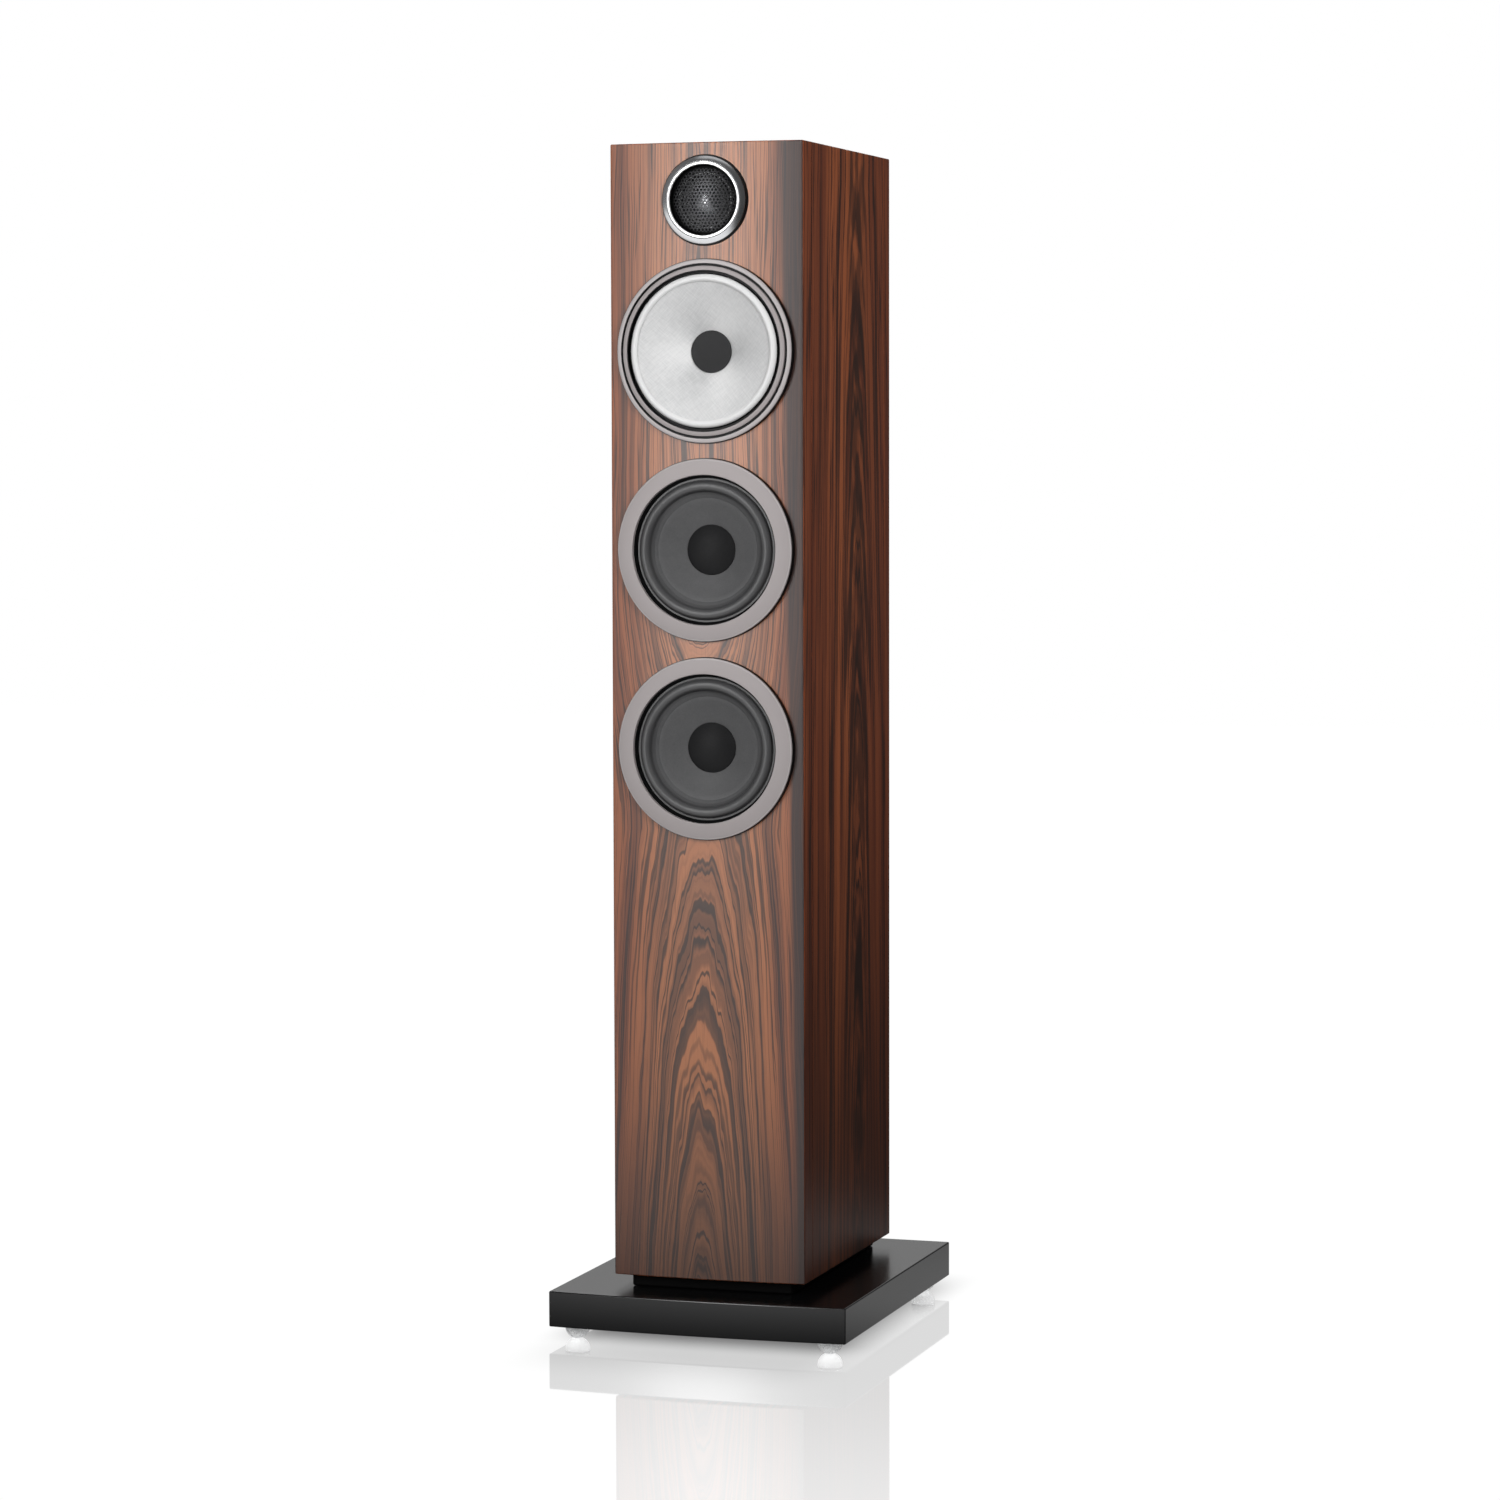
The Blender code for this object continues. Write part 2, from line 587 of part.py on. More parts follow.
def make_mid():
    """The midrange unit: grooved trim ring, narrow flat surround, woven cone and a soft centre plug."""
    pivot = add_pivot("mid", unit_place(MID_BELOW_TOP))
    rim = TRIM_RADIUS / MM
    skirt = rim - TRIM_SKIRT / MM
    ring = [
        (65.0, -5.0), (65.0, -9.5), (69.1, -8.5), (69.2, -6.4), (70.4, -6.4), (70.5, -8.1), (rim, -7.0),
        (rim, 1.2), (skirt, 1.2), (skirt, -5.0),
    ]
    turned("mid_trim_ring", ring, RING_STEPS, satin_grey(), pivot)
    basket = [
        (71.6, -4.7), (71.6, 1.2), (63.4, 1.2), (48.0, 32.7), (30.0, 32.7), (30.0, 29.7),
        (40.5, 29.7), (40.5, 23.8), (46.5, 23.8), (58.8, 4.0), (58.8, -6.5), (62.2, -6.5), (62.5, -4.7),
    ]
    chassis = turned("mid_chassis", basket, UNIT_STEPS, black_plastic(), pivot)
    cut_basket_windows(chassis, pivot, "mid", 36, 80, 7, 20)
    make_motor("mid_motor", pivot, pole=14.2, plate_hole=16.6, front=33, outer=45)
    surround = [
        (62.0, -7.7), (60.4, -9.5), (58.4, -10.6), (56.2, -9.6), (56.2, -8.7), (58.4, -9.7), (61.6, -6.8),
        (62.0, -6.8),
    ]
    turned("mid_surround", surround, UNIT_STEPS, woven_cone(), pivot)
    cone = [
        (57.4, -8.8), (45.0, -2.9), (31.0, 4.9), (15.7, 14.0),
        (15.7, 14.9), (31.0, 5.8), (45.0, -2.0), (57.4, -7.9),
    ]
    turned("mid_cone", cone, UNIT_STEPS, woven_cone(), pivot)
    plug = [(0, 6.6), (7, 7.3), (13, 9.5), (17.2, 12.3), (14.4, 13.4), (14.4, 20), (0, 20)]
    turned("mid_plug", plug, UNIT_STEPS, foam(), pivot)
    make_spider("mid_spider", pivot, inner=15.8, outer=45.5, depth=22.7)
    make_voice_coil("mid_voice_coil", pivot, inner=14.9, front=14.2, rear=42)


def grille_depth(radius):
    """Depth of the domed grille's front face at a radius, in metres."""
    return GRILLE_RIM_DEPTH - GRILLE_CROWN * (1 - (radius / GRILLE_RADIUS) ** 2)


def grille_centres():
    """Hole centres on a honeycomb of rows, out to GRILLE_RINGS steps from the middle."""
    found = []
    row_step = GRILLE_PITCH * math.sqrt(3) / 2
    for row in range(-GRILLE_RINGS, GRILLE_RINGS + 1):
        count = 2 * GRILLE_RINGS + 1 - abs(row)
        for number in range(count):
            found.append(((number - (count - 1) / 2) * GRILLE_PITCH, row * row_step))
    return found


def make_grille(pivot):
    """A domed sheet drilled with a honeycomb of holes: drawn flat, filled, thickened and pressed."""
    bm = bmesh.new()
    loops = [(0, 0, GRILLE_RADIUS, UNIT_STEPS)]
    loops += [(x, z, GRILLE_HOLE_RADIUS, 6) for x, z in grille_centres()]
    edges = []
    for x, z, radius, sides in loops:
        turns = [2 * math.pi * (side + 0.5) / sides for side in range(sides)]
        points = [bm.verts.new((x + radius * math.sin(a), 0, z + radius * math.cos(a))) for a in turns]
        edges += [bm.edges.new((points[i], points[(i + 1) % sides])) for i in range(sides)]
    bmesh.ops.triangle_fill(bm, edges=edges, use_beauty=True, use_dissolve=False)
    inside = [face for face in bm.faces if face_in_hole(face)]
    bmesh.ops.delete(bm, geom=inside, context="FACES_ONLY")
    swept = bmesh.ops.extrude_face_region(bm, geom=list(bm.faces))
    rear = [item for item in swept["geom"] if isinstance(item, bmesh.types.BMVert)]
    bmesh.ops.translate(bm, verts=rear, vec=(0, GRILLE_THICKNESS, 0))
    for vert in bm.verts:
        vert.co.y += grille_depth(math.hypot(vert.co.x, vert.co.z))
    add_object("tweeter_grille", bm, grille_metal(), pivot)


def face_in_hole(face):
    middle = face.calc_center_median()
    return any(math.hypot(middle.x - x, middle.z - z) < GRILLE_HOLE_RADIUS * 0.7 for x, z in grille_centres())


def make_tweeter():
    """The tweeter: housing, grey bevel, bright ring, domed grille, dome with its coil former, and motor."""
    pivot = add_pivot("tweeter", unit_place(TWEETER_BELOW_TOP))
    flange = TWEETER_FLANGE_RADIUS / MM
    housing = [
        (flange, -4.4), (flange, 1.2), (32.4, 1.2), (32.4, 9.0), (14.2, 9.0), (14.2, 1.5), (25.5, 0.2),
        (29.0, -1.2), (29.0, -4.4),
    ]
    turned("tweeter_housing", housing, UNIT_STEPS, black_plastic(), pivot)
    bevel = [(31.1, -4.7), (31.1, -9.0), (35.2, -5.2), (35.2, -4.7)]
    turned("tweeter_trim", bevel, RING_STEPS, satin_grey(), pivot)
    bright = [(28.5, -4.7), (28.5, -8.4), (29.2, -9.3), (30.8, -9.1), (30.8, -4.7)]
    turned("tweeter_bright_ring", bright, RING_STEPS, bright_metal(), pivot)
    make_grille(pivot)
    dome = [
        (0, -3.4), (6, -2.6), (10.5, -0.6), (13.1, 2.0), (13.1, 13.5), (12.5, 13.5), (12.5, 2.3), (10, 0.2),
        (6, -1.8), (0, -2.6),
    ]
    turned("tweeter_dome", dome, SMALL_STEPS, bright_metal(), pivot)
    make_motor("tweeter_motor", pivot, pole=11.9, plate_hole=13.9, front=9.4, outer=24)


def make_port():
    """The flared reflex port: a flange in the rear board, a throat, and a rolled inner mouth."""
    throat = PORT_THROAT_RADIUS / MM
    flange = PORT_FLANGE_RADIUS / MM
    rebate = -(PORT_REBATE - GAP) / MM
    rear_wall = PORT_HOLE_RADIUS / MM - 0.4
    end = -PORT_LENGTH / MM
    outline = [
        (flange, -0.5), (flange, rebate), (rear_wall, rebate), (rear_wall, -6), (throat + 2.4, -16),
        (throat + 2.4, end + 18), (throat + 8, end + 1), (throat + 7, end),
        (throat + 2, end + 8), (throat, end + 18), (throat, -16), (throat + 3, -6), (throat + 9, 0),
        (flange - 0.6, 0),
    ]
    turned("port_tube", outline, PORT_STEPS, black_plastic(), place=(0, REAR_Y, below_top(PORT_BELOW_TOP)))


def knob_mesh(radius, start, end, bore, bore_end):
    """A fluted cap with a blind threaded bore, standing along +Y. Sizes in mm."""
    outline = [
        (bore, start), (radius, start), (radius, end - 1.5), (radius - 1.5, end), (0, end),
        (0, bore_end), (bore, bore_end),
    ]
    bm = turned_mesh(outline, 2 * KNOB_FLUTES)
    for vert in bm.verts:
        away = math.hypot(vert.co.x, vert.co.z)
        turn = round(math.atan2(vert.co.z, vert.co.x) / math.pi * KNOB_FLUTES)
        if turn % 2 and away > (radius - 1) * MM:
            vert.co.x *= KNOB_FLUTE_WAIST
            vert.co.z *= KNOB_FLUTE_WAIST
    return bm


def make_terminals():
    """The terminal panel with two binding posts, each with a clamping washer and a fluted knob."""
    level = below_top(TERMINALS_BELOW_TOP)
    outline = rounded_rectangle((0, level), TERMINAL_PANEL_SIZE, CORNER_RADIUS)
    front = REAR_Y - TERMINAL_REBATE + GAP
    panel = add_object("terminal_panel", prism_mesh(outline, front, REAR_Y, "Y"), black_plastic())
    rod = POST_RADIUS / MM
    hole = [(0, -20), (rod + 0.3, -20), (rod + 0.3, 10), (0, 10)]
    for side, name in ((-1, "left"), (1, "right")):
        pivot = add_pivot("terminal_" + name, (side * TERMINAL_SPACING / 2, REAR_Y, level))
        cut(panel, turned("post_cutter_" + name, hole, SMALL_STEPS, board(), pivot))
        post = [
            (0, -14), (rod, -14), (rod, -8), (7, -8), (7, -3.2), (rod, -3.2), (rod, 15.5), (rod - 0.6, 16),
            (0, 16),
        ]
        turned("terminal_post_" + name, post, SMALL_STEPS, brass(), pivot)
        washer = [(rod + 0.4, 0.3), (7, 0.3), (7, 2.0), (rod + 0.4, 2.0)]
        turned("terminal_washer_" + name, washer, SMALL_STEPS, brass(), pivot)
        knob = knob_mesh(radius=8.5, start=2.3, end=19, bore=rod + 0.4, bore_end=16.5)
        add_object("terminal_knob_" + name, knob, black_plastic(), pivot)


def build():
    clear_scene()
    make_baffle()
    make_wrap()
    make_rear_panel()
    make_inside()
    make_crossover()
    make_plinth()
    make_feet()
    make_tweeter()
    make_mid()
    make_bass("bass_upper", BASS_UPPER_BELOW_TOP)
    make_bass("bass_lower", BASS_LOWER_BELOW_TOP)
    make_port()
    make_terminals()


build()
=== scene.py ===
# %% [markdown]
# # A slim floorstanding loudspeaker
# A veneered cabinet stands on a black plinth with four clear domed feet. A small tweeter, a pale woven
# midrange cone and two dark bass cones sit on its bowed front. The construction is already settled in the
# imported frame, so this lesson only dresses it: each visible piece is modelled again at a finer step, in the
# place that the frame gives, and each surface gets a finish of shader nodes.

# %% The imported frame
import math

import bmesh
import bpy
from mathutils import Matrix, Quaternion, Vector
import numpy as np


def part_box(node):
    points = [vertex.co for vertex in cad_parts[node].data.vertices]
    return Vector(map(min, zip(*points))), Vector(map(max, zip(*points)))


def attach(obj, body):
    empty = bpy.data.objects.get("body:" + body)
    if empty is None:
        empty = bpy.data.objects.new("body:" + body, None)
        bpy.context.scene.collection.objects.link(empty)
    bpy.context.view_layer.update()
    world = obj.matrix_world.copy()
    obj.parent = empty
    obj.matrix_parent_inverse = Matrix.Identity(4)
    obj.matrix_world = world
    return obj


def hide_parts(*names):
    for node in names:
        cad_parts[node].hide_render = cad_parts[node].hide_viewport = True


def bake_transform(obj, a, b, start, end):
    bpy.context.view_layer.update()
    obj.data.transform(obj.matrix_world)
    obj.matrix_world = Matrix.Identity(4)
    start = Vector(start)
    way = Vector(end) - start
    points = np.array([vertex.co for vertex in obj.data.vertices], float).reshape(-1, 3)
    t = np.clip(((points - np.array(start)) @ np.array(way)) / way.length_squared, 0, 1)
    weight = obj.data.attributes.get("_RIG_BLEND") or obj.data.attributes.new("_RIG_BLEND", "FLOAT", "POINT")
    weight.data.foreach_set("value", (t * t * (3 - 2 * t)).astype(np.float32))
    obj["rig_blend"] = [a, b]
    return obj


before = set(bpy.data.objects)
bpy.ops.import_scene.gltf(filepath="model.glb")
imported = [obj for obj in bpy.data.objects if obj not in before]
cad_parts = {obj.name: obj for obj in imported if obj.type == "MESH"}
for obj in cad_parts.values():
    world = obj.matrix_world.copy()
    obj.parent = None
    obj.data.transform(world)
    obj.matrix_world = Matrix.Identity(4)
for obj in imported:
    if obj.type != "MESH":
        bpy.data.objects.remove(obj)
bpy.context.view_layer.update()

# %% [markdown]
# ## Where things are
# The script takes its places from the frame, so that nothing has to be fitted by eye. Each drive unit is
# round, so the middle of its trim ring's box gives its axis, and depths are counted in millimetres from the
# plane of the front board's side edges, with minus towards the listener.

# %% Places read from the frame
MM = 0.001
BAFFLE_THICKNESS = 22 * MM
BAFFLE_BOW = 3.5 * MM

baffle_low, baffle_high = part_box("front_baffle")
rear_low, rear_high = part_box("rear_panel")
plinth_low, plinth_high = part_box("plinth_board")
BAFFLE_PLANE = baffle_high.y - BAFFLE_THICKNESS
CABINET_HALF = baffle_high.x
REAR_PLANE = rear_high.y


def middle_of(node):
    low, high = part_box(node)
    return (low + high) / 2


def unit_centre(node):
    """A drive unit's axis where it crosses the front board's edge plane."""
    middle = middle_of(node)
    return Vector((middle.x, BAFFLE_PLANE, middle.z))


TWEETER_CENTRE = unit_centre("tweeter_housing")
MID_CENTRE = unit_centre("mid_trim_ring")
BASS_CENTRES = {name: unit_centre(name + "_trim_ring") for name in ("bass_upper", "bass_lower")}
print("front plane at y", round(BAFFLE_PLANE, 4), "tweeter at z", round(TWEETER_CENTRE.z, 4))

# %% [markdown]
# ## Camera
# The view was worked out from the cabinet's corners and the rings in the photograph. A long lens about three
# and a half metres away keeps the verticals nearly parallel. The roll is a tenth of a degree, and the image
# isn't shifted, so the other views stay centred too.

# %% Camera
VIEW_AZIMUTH = math.radians(17.889)
VIEW_ELEVATION = math.radians(3.846)
VIEW_ROLL = math.radians(-0.1327)
VIEW_DISTANCE = 3.5716
VIEW_AIM = Vector((0.0360, BAFFLE_PLANE, 0.4862))
VIEW_LENS = 105.84
SENSOR = 36.0

back = Vector((
    math.sin(VIEW_AZIMUTH) * math.cos(VIEW_ELEVATION),
    -math.cos(VIEW_AZIMUTH) * math.cos(VIEW_ELEVATION),
    math.sin(VIEW_ELEVATION),
))
camera = bpy.data.objects.new("camera", bpy.data.cameras.new("camera"))
camera.data.lens = VIEW_LENS
camera.data.sensor_width = SENSOR
camera.location = VIEW_AIM + back * VIEW_DISTANCE
camera.rotation_mode = "QUATERNION"
camera.rotation_quaternion = (-back).to_track_quat("-Z", "Y") @ Quaternion((0, 0, 1), VIEW_ROLL)
bpy.context.scene.collection.objects.link(camera)
bpy.context.scene.camera = camera
print("camera at", [round(value, 3) for value in camera.location])

# %% [markdown]
# ## Shader maths as Python
# A finish is a tree of nodes, and trees are tedious to wire by hand. One small class wraps a socket so that
# an expression such as `1 - mask * 0.4` adds the Math nodes that it needs. Every other node comes from one
# method, which sets the node's own options first and then fills its sockets with values or links.


# %% Socket and finish classes
class Socket:
    """An output socket that takes part in arithmetic."""

    def __init__(self, owner, output):
        self.owner = owner
        self.output = output

    def maths(self, operation, first, second=0.0):
        return self.owner.node("ShaderNodeMath", {"operation": operation}, {0: first, 1: second})

    def __add__(self, other):
        return self.maths("ADD", self, other)

    __radd__ = __add__

    def __sub__(self, other):
        return self.maths("SUBTRACT", self, other)

    def __rsub__(self, other):
        return self.maths("SUBTRACT", other, self)

    def __mul__(self, other):
        return self.maths("MULTIPLY", self, other)

    __rmul__ = __mul__

    def __truediv__(self, other):
        return self.maths("DIVIDE", self, other)

    def __pow__(self, other):
        return self.maths("POWER", self, other)

    def __abs__(self):
        return self.maths("ABSOLUTE", self)

    def sine(self):
        return self.maths("SINE", self)

    def least(self, other):
        return self.maths("MINIMUM", self, other)

    def most(self, other):
        return self.maths("MAXIMUM", self, other)


class Tree:
    """A node tree in which every node comes from one method."""

    def __init__(self, tree):
        self.tree = tree

    def node(self, kind, settings, sockets, out=0):
        made = self.tree.nodes.new(kind)
        for key, value in settings.items():
            setattr(made, key, value)
        for key, value in sockets.items():
            self.fill(made.inputs[key], value)
        return Socket(self, made.outputs[out])

    def fill(self, socket, value):
        if isinstance(value, Socket):
            self.tree.links.new(value.output, socket)
        else:
            socket.default_value = value

    def split(self, coordinates):
        """The three numbers of a kind of texture coordinates, each as a socket."""
        whole = self.node("ShaderNodeTexCoord", {}, {}, coordinates)
        parts = self.node("ShaderNodeSeparateXYZ", {}, {0: whole})
        return [Socket(self, output) for output in parts.output.node.outputs]


class Finish(Tree):
    """A material round a Principled shader. Sockets that are the same all over are set by keyword."""

    def __init__(self, name, **fixed):
        self.material = bpy.data.materials.new(name)
        self.material.use_nodes = True
        super().__init__(self.material.node_tree)
        self.shader = self.tree.nodes["Principled BSDF"]
        for socket, value in fixed.items():
            self.shader.inputs[socket.replace("_", " ").title().replace("Ior", "IOR")].default_value = value

    def noise(self, x, y, z, detail=2.0, roughness=0.5):
        vector = self.node("ShaderNodeCombineXYZ", {}, {0: x, 1: y, 2: z})
        return self.node("ShaderNodeTexNoise", {}, {
            "Vector": vector, "Scale": 1.0, "Detail": detail, "Roughness": roughness,
        })

    def ramp(self, value, low, high):
        """0 below low, 1 above high, and a smooth step between."""
        return self.node("ShaderNodeMapRange", {"interpolation_type": "SMOOTHSTEP"}, {
            0: value, 1: low, 2: high, 3: 0.0, 4: 1.0,
        })

    def window(self, value, rise, fall):
        """1 between two smooth steps and 0 outside them. Rise and fall are each a pair of limits."""
        return self.ramp(value, *rise) * (1 - self.ramp(value, *fall))

    def mix(self, share, first, second):
        return self.node("ShaderNodeMix", {"data_type": "RGBA"}, {0: share, 6: first, 7: second}, 2)

    def colour(self, value):
        self.fill(self.shader.inputs["Base Color"], value)

    def rough(self, value):
        self.fill(self.shader.inputs["Roughness"], value)

    def bump(self, height, strength, distance):
        normal = self.node("ShaderNodeBump", {}, {
            "Height": height, "Strength": strength, "Distance": distance,
        }, "Normal")
        self.fill(self.shader.inputs["Normal"], normal)


def tone(red, green, blue):
    """A colour as it is read on a screen, 0 to 255, turned into the linear values that shaders use."""
    linear = [((part / 255 + 0.055) / 1.055) ** 2.4 for part in (red, green, blue)]
    return (*linear, 1.0)


print("shader helpers ready")

# %% [markdown]
# ## Rosewood veneer
# The cabinet is covered in a thin sheet of rosewood under satin lacquer. A flat-cut sheet shows the tree's
# growth rings as tall nested arches, and a quarter-cut one as straight stripes. Both come from one idea: the
# distance from a leaning log's middle. That distance, roughened by noise, is fed to a stretched noise, and
# the sine of that noise draws veins of uneven width along it, so arches and stripes belong to the same wood.
# The sheets redden towards their edges and darken there in painted shade, a broad dark stripe runs up the
# right of the front, and painted shade darkens each sheet towards the bottom.

# %% Veneer finishes
FRONT_TONES = (tone(176, 114, 78), tone(106, 69, 51), tone(42, 33, 31))
SIDE_TONES = (tone(180, 100, 61), tone(111, 59, 40), tone(46, 33, 28))
# The sheets' edges are redder wood and darker in painted shade.
EDGE_RED_AND_SHADE_TONE = tone(118, 58, 38)
STRIPE_TONE = tone(38, 33, 34)
# Painted shade towards the bottom of each sheet.
LOW_SHADE_TONE = tone(46, 28, 21)
MEANDER = 20 * MM
WAVE = 6 * MM
RAGGED = 4.5 * MM
ARCH_FADE = 0.26


def veneer(
    name, across, along, tones, middle, depths, stripe, veining, heart=0.0, band=None, root=0.0, shine=0.08
):
    """Rosewood under satin lacquer. Across and along name the coordinates over and with the grain, tones are
    its light, its shaded and its vein colours, depths says how far below the log's middle lies, and root is
    the height under which a painted shade darkens the sheet. Stripe and veining set how dense the bands and
    their veins are, heart darkens the middle, and band is a broad dark stripe's two edges and its lean. A
    noise is scaled to lumps a metre, and the number between its two coordinates only tells it from the next
    noise."""
    light, shaded, dark = tones
    start, lean, top, fall = depths
    finish = Finish(name, specular_ior_level=shine)
    coordinates = dict(zip("XYZ", finish.split("Object")))
    over = coordinates[across]
    up = coordinates[along]

    meander = finish.noise(over * 8, 4.1 + middle, up * 1.7, 2.0)
    wave = (finish.noise(over * 42, 6.3, up * 5, 1.0) - 0.5) * WAVE
    ragged = finish.noise(over * 95, 7.7, up * 11, 2.0, 0.6)
    offset = over - middle + (meander - 0.5) * MEANDER + wave
    deep = start + up.least(top) * lean - finish.ramp(up, top, top + ARCH_FADE) * fall
    ring = (offset * offset + deep * deep) ** 0.5 + (ragged - 0.5) * RAGGED

    bands = finish.noise(ring * stripe, 1.3, up * 0.8, 2.0, 0.55)
    shade = finish.noise(ring * (stripe * 0.8), 6.9, up * 1.5, 2.0, 0.6)
    fine = finish.noise(ring * (stripe * 5), 2.9, up * 3.0, 2.0, 0.6)
    pores = finish.noise(over * 2100, 5.3, up * 38, 1.0)
    veins = finish.ramp((bands * veining).sine(), 0.30, 1.0)
    soft = finish.ramp(shade + (fine - 0.5) * 0.6 + (veins - 0.3) * 0.12, 0.34, 0.66)

    wood = finish.mix(soft, light, shaded)
    # Towards the sheet's edges: redder wood and a painted shade.
    wood = finish.mix(finish.ramp(abs(over), 0.030, 0.080) * 0.55, wood, EDGE_RED_AND_SHADE_TONE)
    wood = finish.mix(veins * (0.38 + shade * 0.7), wood, dark)
    if heart:
        blotch = finish.ramp(finish.noise(over * 70, 3.7, up * 26, 2.0), 0.36, 0.56)
        wood = finish.mix((1 - finish.ramp(abs(offset), 0.008, 0.034)) * blotch * heart, wood, dark)
    if band:
        low, high, drift = band
        place = over - (0.95 - up) * drift + wave
        inside = finish.window(place, (low, low + 0.007), (high, high + 0.004))
        wood = finish.mix(inside * (0.76 + fine * 0.24), wood, STRIPE_TONE)
    wood = finish.mix(finish.ramp(pores, 0.58, 0.74) * 0.30, wood, dark)
    if root:
        # Painted shade: the sheet darkens below the height root.
        wood = finish.mix((1 - finish.ramp(up, 0.04, root)) * 0.72, wood, LOW_SHADE_TONE)
    finish.colour(wood)
    finish.rough(0.29 + fine * 0.08)
    finish.bump(fine * 0.3 - pores * 0.6, 0.10, 0.12 * MM)
    return finish.material


FRONT_VENEER = veneer(
    "front_veneer", "X", "Z", FRONT_TONES, -0.006, (0.012, 0.10, 0.42, 0.046), 150, 64,
    band=(0.060, 0.095, 0.013), root=0.26, shine=0.56,
)
SIDE_VENEER = veneer(
    "side_veneer", "Y", "Z", SIDE_TONES, 0.032, (0.006, 0.06, 0.95, 0.0), 84, 50, heart=0.65, root=0.50
)
TOP_VENEER = veneer("top_veneer", "X", "Y", SIDE_TONES, 0.030, (0.010, 0.03, 0.95, 0.0), 50, 40)
BACK_VENEER = veneer("back_veneer", "X", "Z", SIDE_TONES, 0.024, (0.010, 0.06, 0.60, 0.0), 90, 44, root=0.30)
print("veneers made")

# %% [markdown]
# ## Lacquer, mouldings and metals
# The plinth is semi-gloss black, the chassis and pods are fine-grained moulded plastic, and the trim rings
# are bead-blasted and anodised a warm grey. All of them are nearly one colour on the real thing, so what
# makes them read is the grain in the roughness and a bump far smaller than a millimetre.


# %% Plain finishes
def grained(name, base, rough, grain, depth, spread=0.06, tint=0.12, **fixed):
    """A nearly even surface: a fine grain in bump and roughness, and a slow drift in the colour. Grain is in
    lumps a metre and depth in metres."""
    finish = Finish(name, **fixed)
    x, y, z = finish.split("Object")
    speck = finish.noise(x * grain, y * grain, z * grain, 3.0, 0.6)
    drift = finish.noise(x * 17, y * 17, z * 17, 2.0)
    deep = tuple(part * (1 - tint) for part in base[:3]) + (1.0,)
    finish.colour(finish.mix(speck * 0.5 + drift * 0.5, base, deep))
    finish.rough(rough + (speck - 0.5) * spread)
    finish.bump(speck, 0.25, depth)
    return finish.material


BLACK_LACQUER = grained("black_lacquer", tone(14, 14, 15), 0.20, 1800, 0.00002, 0.04, specular_ior_level=0.6)
BLACK_MOULDING = grained("black_moulding", tone(12, 12, 13), 0.45, 2600, 0.00005, specular_ior_level=0.2)
# The spacer is black, and its extra darkness is painted shade for the gap under the cabinet.
SPACER_BLACK_AND_SHADE = grained("spacer_black_and_shade", tone(7, 7, 7), 0.70, 900, 0.00008, specular_ior_level=0.1)
SATIN_GREY = grained(
    "satin_grey", tone(163, 156, 156), 0.50, 5200, 0.00004, 0.10, metallic=0.10, specular_ior_level=0.4
)
# A paler copy of the satin grey: a painted highlight on the bass rings' rounded edges and the midrange's
# outer ring.
SATIN_PAINTED_HIGHLIGHT = grained(
    "satin_painted_highlight", tone(180, 174, 174), 0.46, 5200, 0.00004, 0.10, metallic=0.10, specular_ior_level=0.5
)
TWEETER_GREY = grained("tweeter_grey", tone(214, 215, 217), 0.26, 4200, 0.00002, 0.05, metallic=1.0)
BRIGHT_METAL = grained("bright_metal", tone(240, 240, 240), 0.22, 3000, 0.00001, 0.03, 0.02, metallic=0.4)
GRILLE_METAL = grained("grille_metal", tone(62, 62, 64), 0.38, 3600, 0.00003, 0.08, metallic=0.75)
DOME_METAL = grained("dome_metal", tone(196, 197, 200), 0.30, 2600, 0.00002, 0.05, metallic=1.0)
RUBBER_BLACK = grained("surround_rubber", tone(70, 70, 71), 0.42, 1500, 0.00003, 0.05, specular_ior_level=0.6)
PALE_RUBBER = grained("pale_rubber", tone(232, 232, 232), 0.42, 1600, 0.00003)
PLUG_FOAM = grained("plug_foam", tone(52, 52, 53), 0.90, 1900, 0.00030, 0.05, 0.3)
STEEL = grained("plated_steel", tone(178, 178, 180), 0.30, 2400, 0.00003, metallic=1.0)
GOLD_PLATE = grained("gold_plate", tone(214, 172, 92), 0.22, 2400, 0.00002, metallic=1.0)
FERRITE = grained("ferrite", tone(64, 64, 66), 0.55, 700, 0.00010)
COPPER = grained("enamelled_copper", tone(176, 96, 56), 0.32, 1400, 0.00010, metallic=1.0)
BOARD = grained("fibreboard", tone(150, 122, 94), 0.85, 800, 0.00015, 0.05, 0.25)
CLOTH = grained("spider_cloth", tone(186, 150, 84), 0.85, 1300, 0.00025, 0.05, 0.3)
FOAM = grained("damping_foam", tone(78, 78, 82), 0.95, 600, 0.00050, 0.04, 0.4)
print("plain finishes made")

# %% [markdown]
# ## Cones
# The bass cones are pressed from fibrous pulp, so they show a faint felted mottle. The midrange cone is a
# white cloth set in resin, laid with its threads aslant: over and under threads a little over a millimetre
# apart, which two crossed sine waves give. Pressing the cloth into a cone pulls its threads unevenly, so they
# catch the light unevenly: a painted sheen and shade changes the tone softly three times round the middle,
# darker on the right, and evens out towards the rim.


# %% Cone finishes
def fibrous(name, base, dark, shine):
    finish = Finish(name, specular_ior_level=shine)
    x, y, z = finish.split("Object")
    felt = finish.noise(x * 700, y * 700, z * 700, 4.0, 0.7)
    clump = finish.noise(x * 120, y * 120, z * 120, 3.0, 0.6)
    finish.colour(finish.mix((felt * 0.6 + clump * 0.4), base, dark))
    finish.rough(0.48 + felt * 0.15)
    finish.bump(felt, 0.35, 0.00018)
    return finish.material


WEAVE_PITCH = 1.2 * MM
CLOTH_LIGHT = tone(226, 226, 226)
CLOTH_SHADED = tone(176, 177, 178)


